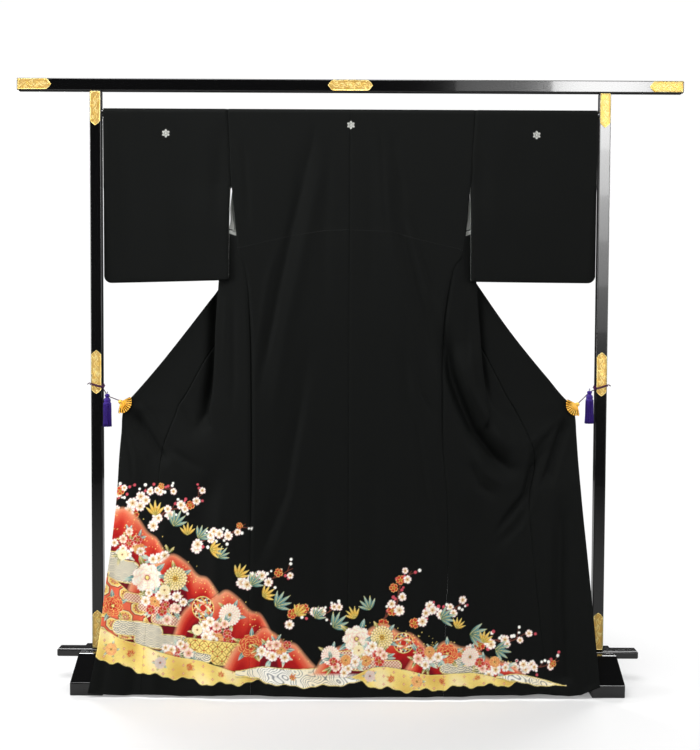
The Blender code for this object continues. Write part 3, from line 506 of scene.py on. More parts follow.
def backPoints(side, s, u):
    z = np.where(s > rodZ, overRod(s)[0], s)
    width = read(backTable[side], "back", z)
    x = width[:, None] * u[None, :]
    zGrid = np.broadcast_to(z[:, None], x.shape)
    near = np.clip(1 - np.abs(zGrid - cloth["tuckZ"]) / 0.12, 0, 1)
    zGrid = zGrid + (tuckLine(side * x) - cloth["tuckZ"]) * near * near * (3 - 2 * near)
    soft = ease(rodZ + 0.01, rodZ - 0.10, zGrid)
    seamTop = cloth["seamTopZ"]
    trough = seamTrough(side, x - width[:, None], zGrid) * ease(seamTop, seamTop - 0.08, zGrid)
    trough = trough + 0.0014 * np.exp(-((x / 0.0042) ** 2)) * ease(0.0, 0.3, zGrid)
    relief = 0.0005 * u[None, :] ** 2 + foldDepth(side, x, zGrid) + creaseDepth(side, x, zGrid) + trough
    y = lean(zGrid) + soft * relief
    # The cloth above the tuck lies over the cloth below it.
    below = cloth["tuckStep"] * ease(cloth["tuckZ"] - 0.06, cloth["tuckZ"] - 0.0004,
                                     z) * (z < cloth["tuckZ"])
    above = -cloth["tuckStep"] * ease(cloth["tuckZ"] + 0.03, cloth["tuckZ"], z) * (z >= cloth["tuckZ"])
    y = y + (0.5 * below + 0.5 * above)[:, None]
    y = np.where((s > rodZ)[:, None], -overRod(s)[1][:, None], y)
    return np.stack([side * x, y + rodY, hemHeight(side * x, zGrid)], -1)


# Finer creases over the folds: (x, z) along each, half width and depth in mm, and the layer it is on: back,
# near (the front fold's outer layer), far (the layer turned out to the clip) or low (below the pleat).
creases = {
    -1: (
        ((96, 1600), (104, 1500), (116, 1459), (128, 1400), 8, 1.6, "back"),
        ((115, 1459), (165, 1265), (200, 1090), (235, 907), (252, 770), 9, 2.4, "back"),
        ((98, 1459), (147, 1265), (183, 1090), (216, 907), (236, 790), 10, -1.2, "back"),
        ((116, 871), (142, 725), (168, 545), (221, 411), (256, 331), 10, 2.2, "back"),
        ((98, 860), (124, 715), (150, 540), (196, 400), (236, 310), 11, -0.9, "back"),
        ((52, 1560), (64, 1380), (70, 1200), (64, 1010), 16, 1.8, "back"),
        ((196, 1240), (226, 1120), (246, 980), (258, 820), 9, -1.8, "back"),
        ((60, 640), (66, 480), (62, 300), (52, 80), 20, 2.2, "back"),
        ((180, 300), (190, 180), (196, 20), 22, -2.6, "back"),
        ((226, 330), (232, 200), (240, 20), 16, 2.4, "back"),
        ((300, 1540), (290, 1458), (285, 1366), (280, 1260), 9, 1.8, "back"),
        ((373, 1140), (374, 1000), (378, 880), (392, 760), (424, 694), 15, 23.0, "far"),
        ((599, 760), (570, 714), (539, 669), (495, 612), 9, 8.5, "far"),
        ((622, 790), (574, 762), (524, 700), (486, 664), 8, -3.6, "far"),
        ((640, 772), (606, 716), (566, 650), (548, 600), 8, -3.2, "far"),
        ((640, 760), (626, 706), (604, 640), (594, 560), 7, 3.2, "far"),
        ((560, 770), (487, 652), (423, 616), (380, 600), 12, 4.5, "far"),
        ((470, 820), (440, 740), (414, 680), 10, 2.5, "far"),
        ((350, 1130), (346, 1010), (352, 900), (362, 812), 7, -1.6, "near"),
        ((322, 1120), (318, 980), (316, 850), (322, 740), 9, 2.0, "near"),
        ((338, 620), (352, 500), (360, 330), (366, 20), 18, -3.4, "low"),
        ((500, 540), (508, 400), (512, 220), (520, 20), 20, -4.0, "low"),
        ((556, 470), (560, 320), (570, 160), (580, 20), 17, 4.0, "low"),
        ((630, 420), (640, 260), (652, 120), (662, 20), 13, 2.6, "low"),
    ),
    1: (
        ((117, 1560), (126, 1460), (140, 1400), (157, 1340), 8, 1.6, "back"),
        ((157, 1340), (195, 1215), (231, 1092), (249, 1030), 9, 3.2, "back"),
        ((140, 1330), (176, 1210), (212, 1090), (234, 1010), 10, -2.6, "back"),
        ((139, 1073), (168, 940), (195, 818), (249, 727), 9, 2.4, "back"),
        ((172, 818), (192, 690), (213, 547), (249, 387), 10, 2.6, "back"),
        ((152, 810), (172, 684), (193, 540), (228, 380), 11, -2.0, "back"),
        ((84, 1590), (88, 1470), (96, 1330), (108, 1200), 7, 1.8, "back"),
        ((48, 1540), (58, 1360), (60, 1180), (56, 1000), 16, 1.6, "back"),
        ((60, 700), (68, 520), (66, 320), (58, 60), 20, 2.2, "back"),
        ((186, 320), (196, 180), (200, 20), 22, -2.6, "back"),
        ((232, 420), (244, 260), (246, 100), (244, 20), 15, 2.4, "back"),
        ((356, 1112), (362, 1001), (370, 890), (384, 800), (410, 756), 10, 7.0, "far"),
        ((300, 980), (306, 905), (326, 836), (370, 748), (414, 690), (450, 664), 9, -3.6, "near"),
        ((327, 637), (358, 566), (412, 530), 12, 4.0, "low"),
        ((345, 660), (376, 600), (430, 562), 11, -3.0, "low"),
        ((607, 763), (580, 680), (552, 601), (524, 547), 8, 7.5, "far"),
        ((640, 770), (620, 710), (584, 610), (566, 540), 8, -4.0, "far"),
        ((590, 770), (559, 702), (513, 647), (492, 600), 8, 4.5, "far"),
        ((550, 676), (505, 607), (485, 536), (445, 490), (392, 424), 9, 8.0, "low"),
        ((530, 610), (508, 510), (478, 450), (410, 386), 11, -3.4, "low"),
        ((610, 770), (570, 730), (520, 690), (470, 668), 9, -3.0, "far"),
        ((330, 1080), (326, 960), (330, 860), 8, 2.0, "near"),
        ((585, 549), (586, 420), (582, 282), (590, 60), 14, 4.2, "low"),
        ((556, 520), (550, 380), (548, 220), (556, 20), 15, -3.6, "low"),
        ((640, 560), (636, 400), (640, 200), (648, 30), 15, 3.0, "low"),
        ((300, 500), (296, 340), (300, 180), (306, 20), 18, -3.2, "low"),
        ((420, 380), (430, 240), (440, 120), (444, 20), 20, 3.4, "low"),
    ),
}


def creaseDepth(side, x, z, t=None):
    depth = np.zeros(x.shape)
    for *line, width, height, layer in creases[side]:
        if (layer == "back") != (t is None):
            continue
        gain = cloth["farGain"] if layer == "far" else cloth["creaseGain"]
        here = furrow(x, z, line, width, gain * height, (-0.02, 0.3), (1.02, 0.7))
        below = ease(0.76, 0.66, z)
        if layer == "near":
            here = here * ease(2.6, 2.2, t) * np.maximum(ease(1.7, 1.2, t), below)
        if layer == "far":
            here = here * np.maximum(ease(4.1, 4.5, t), below)
        if layer == "low":
            here = here * ease(0.74, 0.66, z)
        depth += here
    return depth


seamDepths = {  # how far the cloth sinks at the side seam: heights and depths, m
    -1: ((0.0, 0.35, 0.58, 1.0, 1.18), (0.0006, 0.0020, 0.0058, 0.0056, 0.0010)),
    1: ((0.0, 0.60, 0.78, 1.08, 1.18), (0.0006, 0.0016, 0.0044, 0.0058, 0.0010)),
}


def seamTrough(side, away, z):
    return np.interp(z, *seamDepths[side]) * np.exp(-((away / 0.0054) ** 2))


def pullIn(grid, axis, end, away):
    # draws the first row or column (end 0) or the last (end -1) in, towards its neighbour
    view = grid if axis == 0 else grid.swapaxes(0, 1)
    inward = view[-2 if end else 1] - view[end]
    view[end] += inward / np.linalg.norm(inward, axis=1, keepdims=True) * away


def evenSteps(place, low, high, step):
    # parameters from low to high that lie evenly along a curve, a step apart
    fine = np.linspace(low, high, 400)
    curve = place(fine)
    run = np.concatenate([[0], np.cumsum(np.linalg.norm(np.diff(curve, axis=0), axis=1))])
    return np.interp(np.linspace(0, run[-1], max(int(run[-1] / step), 2)), run, fine)


def orient(sheet):
    # turns the sheet so that its faces look towards the viewer near the hem
    points, quads, tris = sheet
    low = points[:, 2] < points[:, 2].min() + 0.25
    if faceNormals(*sheet)[low, 1].mean() > 0:
        return points, quads[:, ::-1], tris[:, ::-1]
    return sheet


seamTop, hemZ = cloth["seamTopZ"], cloth["hemZ"]
topS = rodZ + drapeRadius * math.radians(88)  # where the two halves meet on top of the rod
print("cloth tables ready")


def panelSheet(points, side, rows, cols, low, fineCols, step, seams, grid=None, present=None):
    # a panel out of its plain part and, below the height low, its finely divided painted part
    block = points(side, rows, cols) if grid is None else grid
    fine = points(side, spaced((low - step, hemZ, step)), fineCols)
    half = cloth["seamGap"] / 2
    if rows[0] > rodZ:
        pullIn(block, 0, 0, half)
    for part in (block, fine):
        for end in seams:
            pullIn(part, 1, end, half)
    sheet = Sheet()
    sheet.addBlock(block, cols, present)
    sheet.addBlock(fine, fineCols)
    return orient(sheet.gather())


def backSheet(side, step):
    tuck, low = cloth["tuckZ"], cloth["paintTop"]["back"][side]
    rows = spaced((topS, rodZ, 0.003), (rodZ, 1.575, 0.004), (1.575, 1.537, 0.0011),
                  (1.537, tuck + 0.012, 0.006), (tuck + 0.012, tuck - 0.0004, 0.002),
                  (tuck - 0.0004, tuck - 0.0014, 0.0005), (tuck - 0.0014, low, 0.006))
    cols = spaced((1, 0.05, 0.015), (0.05, 0, 0.0033))[::-1]
    return panelSheet(backPoints, side, rows, cols, low, np.linspace(0, 1, int(0.262 / step)), step, (-1,))


def frontSheet(side, step):
    lapel, low = cloth["lapelTopZ"], cloth["paintTop"]["front"][side]
    rows = spaced((topS, rodZ, 0.003), (rodZ, lapel, 0.006), (lapel, seamTop, 0.007), (seamTop, low, 0.0065))
    cols = spaced(*((start, end, 0.075) for start, end in ((0, 2.85), (2.85, 4.5), (4.5, 7))))
    # the columns of the front's own edge, free above its seam, and of the lapel, from below the neck
    edge, fold = (int(np.argmin(abs(cols - t))) for t in (2.85, 4.5))
    r, c = np.meshgrid(rows[1:], np.arange(len(cols) - 1), indexing="ij")
    present = ((c >= edge) | (r < seamTop - 1e-6)) & ((c < fold) | (r < lapel - 1e-6))
    block = frontPoints(side, rows, cols)
    block[rows > seamTop + 1e-6, edge, 0] -= side * cloth["seamGap"] / 2
    fineCols = evenSteps(lambda t: frontPoints(side, np.array([0.3]), t)[0], 0, 7, step)
    return panelSheet(frontPoints, side, rows, cols, low, fineCols, step, (0, -1), block, present)


def okumiSheet(side, step):
    low = cloth["paintTop"]["okumi"][side]
    rows, cols = spaced((cloth["okumiTop"], low, 0.0065)), spaced((7, 9, 0.07))
    fineCols = evenSteps(lambda t: frontPoints(side, np.array([0.2]), t)[0], 7, 9, step)
    return panelSheet(frontPoints, side, rows, cols, low, fineCols, step, (0,))


# The painting along the hem: cloud banks, mist, chrysanthemums, peonies, cherry sprays, bamboo and maple.
# Places are (x, z) in mm as the viewer sees them; each colour is as a dye pot would name it.

def tint(*rgb):
    value = np.array(rgb) / 255
    return np.where(value > 0.04045, ((value + 0.055) / 1.055) ** 2.4, value / 12.92)


dyes = {name: tint(*rgb) for name, rgb in {
    "wine": (112, 14, 26), "red": (168, 24, 26), "vermilion": (202, 52, 38), "coral": (224, 102, 74),
    "peach": (234, 170, 128), "cream": (248, 236, 206), "white": (250, 248, 240), "rose": (206, 84, 96),
    "pink": (240, 178, 176), "gold": (214, 168, 66), "paleGold": (244, 220, 130), "deepGold": (160, 112, 38),
    "teal": (104, 146, 142), "paleTeal": (168, 198, 190), "green": (70, 100, 72), "olive": (132, 130, 62),
    "brown": (112, 62, 48), "maroon": (104, 24, 42), "grey": (92, 100, 108), "ink": (24, 24, 24),
}.items()}
painting = {
    "edge": 0.0009,  # how soft the edge of a colour is
    "melt": 0.009,  # over how much the rim of the mist fades
    "line": 0.0011,  # half the width of a drawn line
    "seed": 7,
}


class Canvas:
    def __init__(self, x, z, ground):
        self.x, self.z = x, z
        self.colour = np.tile(np.array(ground, float), (len(x), 1))
        self.foil = np.zeros(len(x))

    def near(self, x, z, reach):
        # the numbers of the points in a square, and where they lie from its middle
        here = np.flatnonzero((abs(self.x - x) < reach) & (abs(self.z - z) < reach))
        return here, self.x[here] - x, self.z[here] - z

    def within(self, x0, x1, z0, z1):
        here = np.flatnonzero((self.x > x0) & (self.x < x1) & (self.z > z0) & (self.z < z1))
        return here, self.x[here], self.z[here]

    def lay(self, here, cover, colour, foil=0.0):
        cover = np.clip(cover, 0, 1)
        colour = dyes[colour] if isinstance(colour, str) else colour
        self.colour[here] += (colour - self.colour[here]) * cover[:, None]
        self.foil[here] += (foil - self.foil[here]) * cover


def inside(distance):
    # 1 within a shape, 0 outside it, with a soft edge
    return np.clip(0.5 - distance / painting["edge"], 0, 1)


def line(distance, width=None):
    return inside(abs(distance) - (width or painting["line"]))


def mix(stops, share):
    # colours blended into each other along a share from 0 to 1
    places = np.linspace(0, 1, len(stops))
    shades = np.array([dyes[name] for name in stops])
    return np.stack([np.interp(share, places, shades[:, k]) for k in range(3)], -1)


def segmentDistance(x, z, x0, z0, x1, z1):
    rx, rz = x1 - x0, z1 - z0
    share = np.clip(((x - x0) * rx + (z - z0) * rz) / max(rx * rx + rz * rz, 1e-12), 0, 1)
    return np.hypot(x - x0 - share * rx, z - z0 - share * rz), share


# Fills for the banks: each returns colours and foil for places x, z at a depth inside the border

def plain(dye, x):
    return np.tile(dyes[dye], (len(x), 1))


def dyed(colour, dye, cover):
    return colour + (dyes[dye] - colour) * cover[:, None]


def haze(x, z, depth):
    # reds that run into each other from the rim inwards, further in some places than in others
    uneven = 1 + 0.30 * np.sin(x * 31 + z * 12) + 0.18 * np.sin(x * 74 - z * 33 + 1)
    return mix(("peach", "coral", "vermilion", "red", "red", "wine"),
               np.clip(depth * uneven / 0.085, 0, 1)), 0.0


def seaWaves(x, z, depth):
    # rows of overlapping rings
    size, colour, done = 0.0190, plain("cream", x), np.zeros(len(x), bool)
    for row in range(3, -4, -1):
        level = (np.floor(z / (size * 0.5)) + row) * size * 0.5
        shift = (np.round(level / (size * 0.5)) % 2) * size
        middle = np.round((x - shift) / (2 * size)) * 2 * size + shift
        r = np.hypot(x - middle, z - level)
        hit = (r < size) & ~done
        ring = abs(r[:, None] / size - np.array([1.0, 0.72, 0.45, 0.2])).min(axis=1) * size
        colour[hit] = dyed(colour, "grey", line(ring, 0.0011))[hit]
        done |= hit
    return colour, 0.0


def streamLines(x, z, depth):
    spacing, seed = 0.0056, 2.0
    warp = 0.010 * np.sin(x * 52 + seed) + 0.006 * np.sin(x * 121 + z * 60 + seed)
    warp = warp + 0.004 * np.sin(z * 190 + x * 40)
    phase = (z + warp + depth * 0.6) / spacing
    stroke = line((phase - np.round(phase)) * spacing, 0.0007)
    return dyed(mix(("cream", "white"), 0.5 + 0.5 * np.sin(x * 31 + z * 17)), "grey", stroke * 0.85), 0.0


def rings(x, z, depth):
    # circles that overlap by half, with a dot where four petals meet
    size, stroke = 0.0125, np.zeros(len(x))
    for shift in (0, 0.5):
        for dx, dz in ((0, 0), (1, 0), (0, 1), (1, 1)):
            cx = (np.floor(x / (2 * size) - shift) + shift + dx) * 2 * size
            cz = (np.floor(z / (2 * size) - shift) + shift + dz) * 2 * size
            stroke = np.maximum(stroke, line(np.hypot(x - cx, z - cz) - size, 0.0008))
    gx, gz = np.round(x / size), np.round(z / size)
    dot = inside(np.hypot(x - gx * size, z - gz * size) - size * 0.16) * ((gx + gz) % 2 > 0.5)
    return dyed(dyed(plain("paleGold", x), "deepGold", stroke), "vermilion", dot), 0.8 * (1 - 0.6 * stroke)


def spots(x, z, depth):
    # tie-dyed spots in slanting rows, each with an open middle
    size = 0.0085
    u, v = (x + z) / size, (x - z) / size
    reach = (abs(u - np.round(u)) ** 3 + abs(v - np.round(v)) ** 3) ** (1 / 3) * size / 1.4142
    spot = inside(reach - size * 0.27) * (1 - inside(reach - size * 0.07))
    return dyed(plain("red", x), "cream", spot), 0.0


def goldCloth(x, z, depth):
    # plain gold cloth in soft folds, with a sprinkling of tiny four-petalled flowers
    seed, wide, high = 0.4, 0.027, 0.021
    fold = 0.5 + 0.5 * np.sin(x * 46 + seed) * np.cos(z * 30 + x * 18)
    u, v = x / wide + seed, z / high
    u, v = u - np.round(u), v + 0.5 * (np.round(u) % 2)
    v = v - np.round(v)
    r, a = np.hypot(u * wide, v * high), np.arctan2(v, u)
    flower = inside(r - 0.0042 * (0.7 + 0.3 * np.cos(4 * a)))
    colour = dyed(mix(("gold", "paleGold", "cream"), 0.15 + 0.62 * fold), "rose", flower * 0.75)
    return dyed(colour, "cream", inside(r - 0.0011)), 0.45 * (1 - flower)


def brocade(x, z, depth):
    # large eight-sided panels, each with a flower, in a trellis
    size = 0.052
    u, v = (x + z * 0.9) / size, (z * 0.9 - x * 0.55) / size
    u, v = (u - np.round(u)) * size, (v - np.round(v)) * size
    r, lobes = np.hypot(u, v), np.cos(8 * np.arctan2(v, u))
    frame = np.maximum(np.maximum(abs(u), abs(v)), (abs(u) + abs(v)) * 0.74)
    colour = dyed(mix(("paleGold", "gold"), np.clip(r / size * 1.6, 0, 1)), "coral",
                  inside(size * 0.43 - frame))
    colour = dyed(colour, "maroon", line(frame - size * 0.43, 0.0011))
    colour = dyed(colour, "cream", line(frame - size * 0.37, 0.0008))
    for reach, depth, dye in ((0.27, 0.18, "red"), (0.20, 0.20, "peach"), (0.12, 0.25, "maroon"),
                              (0.05, 0, "paleGold")):
        colour = dyed(colour, dye, inside(r - size * reach * (1 - depth + depth * lobes)))
    return colour, 0.4 * (1 - inside(r - size * 0.27))


def layShape(canvas, here, distance, depth, fill):
    # a filled shape over a soft shadow, with a gold rim, or as haze with a rim that melts away
    canvas.lay(here, 0.5 * np.clip(1 - distance / 0.006, 0, 1) ** 2 * (distance > 0), "ink")
    cover = np.clip(-distance / painting["melt"], 0, 1) if fill is haze else inside(distance)
    canvas.lay(here, cover, *fill(canvas.x[here], canvas.z[here], depth))
    if fill is not haze:
        canvas.lay(here, line(distance + 0.0011, 0.0009), "paleGold", 0.6)


def bank(canvas, bars, fill):
    # a cloud bank: the union of round-ended bars (x0, z0, x1, z1, radius)
    bars = np.array(bars, float) * mm
    reach, heights = bars[:, 4].max() + 0.01, bars[:, (1, 3)]
    here, x, z = canvas.within(bars[:, 0].min() - reach, bars[:, 2].max() + reach, heights.min() - reach,
                               heights.max() + reach)
    distance = np.min([segmentDistance(x, z, *bar[:4])[0] - bar[4] for bar in bars], axis=0)
    layShape(canvas, here, distance, np.maximum(-distance, 0), fill)


def hill(canvas, top, foot, fill, wave=0.0):
    # a rolling shape between two lines through places (mm); its foot can be wavy
    up, down = (smoothLine(np.array(places, float) * mm, 60) for places in (top, foot))
    here, x, z = canvas.within(up[0, 0] - 0.01, up[-1, 0] + 0.01, down[:, 1].min() - 0.02,
                               up[:, 1].max() + 0.02)
    turn = 2 * math.pi * x / 0.09
    high, low = (np.interp(x, *way.T) for way in (up, down))
    low = low + wave * (np.sin(turn) + 0.45 * np.sin(2.6 * turn + 1))
    steep = [np.hypot(1, np.interp(x, way[:, 0], np.gradient(way[:, 1], way[:, 0]))) for way in (up, down)]
    fall = (high - z) / steep[0]
    layShape(canvas, here, np.maximum(-fall, (low - z) / steep[1]), np.maximum(fall, 0), fill)


def goldDust(canvas, chance, x0, z0, x1, z1, spread, count):
    # flecks of gold leaf scattered along a line (mm)
    for _ in range(count):
        t = chance.random()
        x, z = (x0 + (x1 - x0) * t) * mm, (z0 + (z1 - z0) * t) * mm
        x, z = x + chance.normal(0, spread * mm), z + chance.normal(0, spread * mm)
        here, dx, dz = canvas.near(x, z, 0.004)
        canvas.lay(here, inside(abs(dx) + abs(dz) - chance.uniform(0.0008, 0.0020)), "paleGold", 0.6)


def petalRing(canvas, x, z, radius, count, turn, roundness, stops, outline, notch=0.0, wave=0.0,
              squash=1.0):
    here, dx, dz = canvas.near(x, z, radius * 1.05)
    r, a = np.hypot(dx, dz / squash), np.arctan2(dz / squash, dx) - turn
    u = a * count / (2 * math.pi)
    u = u - np.round(u)
    tip = radius * (1 - roundness + roundness * np.sqrt(np.clip(1 - (2 * u) ** 2, 0, 1)))
    tip = tip - radius * notch * np.exp(-((u / 0.085) ** 2)) + radius * wave * np.cos(u * 28)
    side, cover = (0.5 - abs(u)) * 2 * math.pi * r / count, inside(r - tip)
    canvas.lay(here, cover, mix(stops, np.clip(r / radius, 0, 1) * (1 - 0.25 * (2 * abs(u)) ** 2)))
    canvas.lay(here, cover * np.maximum(line(r - tip + 0.0006, 0.0006), inside(side - 0.0006)) * 0.85,
               outline, 0.4)


flowers = {  # petals (share of the radius, count), the turn from ring to ring, roundness, wave, squash
    "mum": (((1.0, 22), (0.80, 18), (0.60, 14), (0.40, 10)), 0.5, 0.20, 0.0, 1.0),
    "peony": (((1.0, 8), (0.82, 7), (0.64, 6), (0.45, 5)), 0.45, 0.26, 0.022, 0.92),
}


def flower(canvas, kind, x, z, radius, turn, stops, outline="paleGold"):
    x, z, radius = x * mm, z * mm, radius * mm
    petals, twist, roundness, wave, squash = flowers[kind]
    for k, (share, count) in enumerate(petals):
        petalRing(canvas, x, z, radius * share, count, turn + twist * k, roundness, stops, outline, 0.0,
                  wave, squash)
    here, dx, dz = canvas.near(x, z, radius * 0.25)
    r, a = np.hypot(dx, dz), np.arctan2(dz, dx)
    if kind == "mum":
        canvas.lay(here, inside(r - radius * 0.15), "gold", 0.8)
        canvas.lay(here, line(r - radius * 0.10, 0.0007), "maroon")
    else:
        canvas.lay(here, inside(r - radius * 0.18), "wine")
        canvas.lay(here, inside(r - radius * (0.12 + 0.05 * np.cos(9 * a))), "paleGold", 0.8)


def cherry(canvas, x, z, radius, turn, stops, outline="pink"):
    # x, z and radius in metres
    petalRing(canvas, x, z, radius, 5, turn, 0.42, stops, outline, notch=0.16)
    here, dx, dz = canvas.near(x, z, radius)
    r, a = np.hypot(dx, dz), np.arctan2(dz, dx) - turn - 0.2
    k = a * 10 / (2 * math.pi)
    spoke = abs(k - np.round(k)) * 2 * math.pi * r / 10
    canvas.lay(here, inside(spoke - 0.0005) * (r < radius * 0.5) * 0.8, "gold", 0.6)
    canvas.lay(here, inside(r - radius * 0.15), "deepGold", 0.6)


def leaf(canvas, x, z, length, width, turn, stops, vein="paleGold"):
    # a pointed leaf from its stalk at x, z; metres
    c, s = math.cos(turn), math.sin(turn)
    here, dx, dz = canvas.near(x + 0.5 * length * c, z + 0.5 * length * s, 0.56 * length)
    u, v = (dx * c + dz * s) / length + 0.5, abs(-dx * s + dz * c)
    half = width / 2 * np.sin(math.pi * np.clip(u, 0, 1) ** 0.8) ** 0.9
    blade = inside(np.where((u < 0) | (u > 1), 1.0, v - half))
    canvas.lay(here, blade, mix(stops, np.clip(u, 0, 1)))
    canvas.lay(here, inside(v - 0.0005) * blade, vein, 0.7)


def stroke(canvas, points, widths, dye):
    for (x0, z0), (x1, z1), w0, w1 in zip(points, points[1:], widths, widths[1:]):
        reach = max(abs(x1 - x0), abs(z1 - z0)) / 2 + max(w0, w1) + 0.002
        here, _, _ = canvas.near((x0 + x1) / 2, (z0 + z1) / 2, reach)
        away, share = segmentDistance(canvas.x[here], canvas.z[here], x0, z0, x1, z1)
        canvas.lay(here, inside(away - (w0 + (w1 - w0) * share)), dye)


def smoothCurve(points, places):
    # a curve through the given points; places count from one point to the next
    points = np.array(points, float)
    ends = np.vstack([2 * points[0] - points[1], points, 2 * points[-1] - points[-2]])
    i = np.minimum(places.astype(int), len(points) - 2)
    f = (places - i)[:, None]
    a, b, c, d = (ends[i + k] for k in range(4))
    return 0.5 * (2 * b + (c - a) * f + (2 * a - 5 * b + 4 * c - d) * f * f
                  + (3 * b - a - 3 * c + d) * f**3)


def smoothLine(points, count):
    return smoothCurve(points, np.linspace(0, len(points) - 1, count))


whiteStops, redStops = ("gold", "cream", "white", "white"), ("wine", "red", "vermilion", "coral")
roseStops, tealStops = ("rose", "pink", "cream", "white"), ("teal", "paleTeal", "cream", "white")
goldStops, greenStops = ("deepGold", "gold", "paleGold", "cream"), ("green", "teal", "paleTeal", "cream")
wineStops = ("wine", "red", "coral", "peach")
leafStops = (("green", "teal", "paleTeal"), ("green", "olive", "paleGold"))


def spray(canvas, chance, places, blossoms):
    # a flowering cherry branch through places (mm), thinning towards its tip
    path = smoothLine(np.array(places, float) * mm, 26)
    stroke(canvas, path, np.linspace(0.0024, 0.0008, len(path)), "brown")
    for k in range(2, len(path) - 1, 3):
        run = path[k + 1] - path[k - 1]
        turn = math.atan2(run[1], run[0]) + chance.choice((-1, 1)) * chance.uniform(0.5, 0.95)
        twig = chance.uniform(0.016, 0.036) * np.array([math.cos(turn), math.sin(turn)])
        stroke(canvas, [path[k], path[k] + twig], (0.0012, 0.0006), "brown")
        for share in (0.6, 1.0):
            here, dx, dz = canvas.near(*(path[k] + twig * share + chance.normal(0, 0.002, 2)), 0.007)
            bud = inside(np.hypot(dx, dz) - chance.uniform(0.0030, 0.0046))
            canvas.lay(here, bud, "rose" if chance.random() < 0.3 else "white")
    for k in range(blossoms):
        t = (k + chance.uniform(0.2, 0.8)) / blossoms
        place = path[int(t * (len(path) - 1))] + chance.uniform(-0.014, 0.014, 2)
        size = 0.015 * chance.uniform(0.8, 1.1) * (1.1 - 0.4 * t)
        look = (redStops, "paleGold") if chance.random() < 0.18 else (whiteStops, "pink")
        cherry(canvas, *place, size, chance.uniform(0, 6.3), *look)


def cluster(canvas, chance, cx, cz, rx, rz, count):
    # blossoms and small leaves packed together
    for step in range(2):
        for k in range(count):
            r, a = math.sqrt((k + 0.5) / count), 2.4 * k + cx
            x = (cx + rx * r * math.cos(a)) * mm + chance.normal(0, 0.004)
            z = (cz + rz * r * math.sin(a)) * mm + chance.normal(0, 0.004)
            if step == 0:
                stops = (*leafStops, ("teal", "paleTeal", "cream"))[k % 3]
                for turn in (0.5, -0.5):
                    size = chance.uniform(0.022, 0.030)
                    leaf(canvas, x, z, size, 0.0085, a + turn + chance.normal(0, 0.3), stops, "cream")
            elif k % 7 == 3:
                flower(canvas, "mum", x / mm, z / mm, 15, a, redStops if k % 2 else roseStops)
            else:
                stops = redStops if k % 5 == 1 else roseStops if k % 5 == 4 else whiteStops
                cherry(canvas, x, z, chance.uniform(0.0115, 0.0155), chance.uniform(0, 6.3), stops)


def bambooLeaves(canvas, x, z, turn, size, stops):
    # five leaves that hang in a fan from one joint
    for k in range(-2, 3):
        leaf(canvas, x * mm, z * mm, size * mm * (1 - 0.09 * abs(k)), size * mm * 0.20, turn + k * 0.42,
             stops)


def maple(canvas, x, z, radius, turn):
    # its points: how far each is turned, its share of the radius and its breadth
    for k, share, breadth in ((-1.44, 0.62, 0.30), (-0.72, 0.86, 0.30), (0, 1.0, 0.30), (0.72, 0.86, 0.30),
                              (1.44, 0.62, 0.30), (-2.35, 0.42, 0.18), (2.35, 0.42, 0.18)):
        leaf(canvas, x * mm, z * mm, radius * mm * share, radius * mm * breadth, turn + k,
             ("red", "vermilion", "gold"))


def peonyLeaves(canvas, x, z, radius, turn):
    for k in range(5):
        a = turn + 2 * math.pi * k / 5
        cx, cz = (x + radius * 0.55 * math.cos(a)) * mm, (z + radius * 0.55 * math.sin(a)) * mm
        leaf(canvas, cx, cz, radius * mm * 0.95, radius * mm * 0.36, a + 0.15, leafStops[k % 2], "cream")


def threadBall(canvas, x, z, radius, turn):
    # a ball wound with coloured threads
    radius = radius * mm
    here, dx, dz = canvas.near(x * mm, z * mm, radius * 1.06)
    r = np.hypot(dx, dz)
    ball = inside(r - radius)
    canvas.lay(here, ball, mix(("vermilion", "red", "wine"), np.clip(r / radius, 0, 1)))
    for k, dye in enumerate(("paleGold", "cream", "teal", "gold", "cream", "coral")):
        a = turn + math.pi * k / 6
        u, v = (dx * math.cos(a) + dz * math.sin(a)) / radius, -dx * math.sin(a) + dz * math.cos(a)
        bow = np.sqrt(np.clip(1 - u * u, 0, 1)) * radius
        for shift in (-0.30, -0.36, -0.42, 0.30, 0.36, 0.42):
            canvas.lay(here, inside(abs(v - bow * shift) - 0.0007) * ball, dye, 0.4)
    canvas.lay(here, line(r - radius + 0.0008, 0.0009), "paleGold", 0.9)


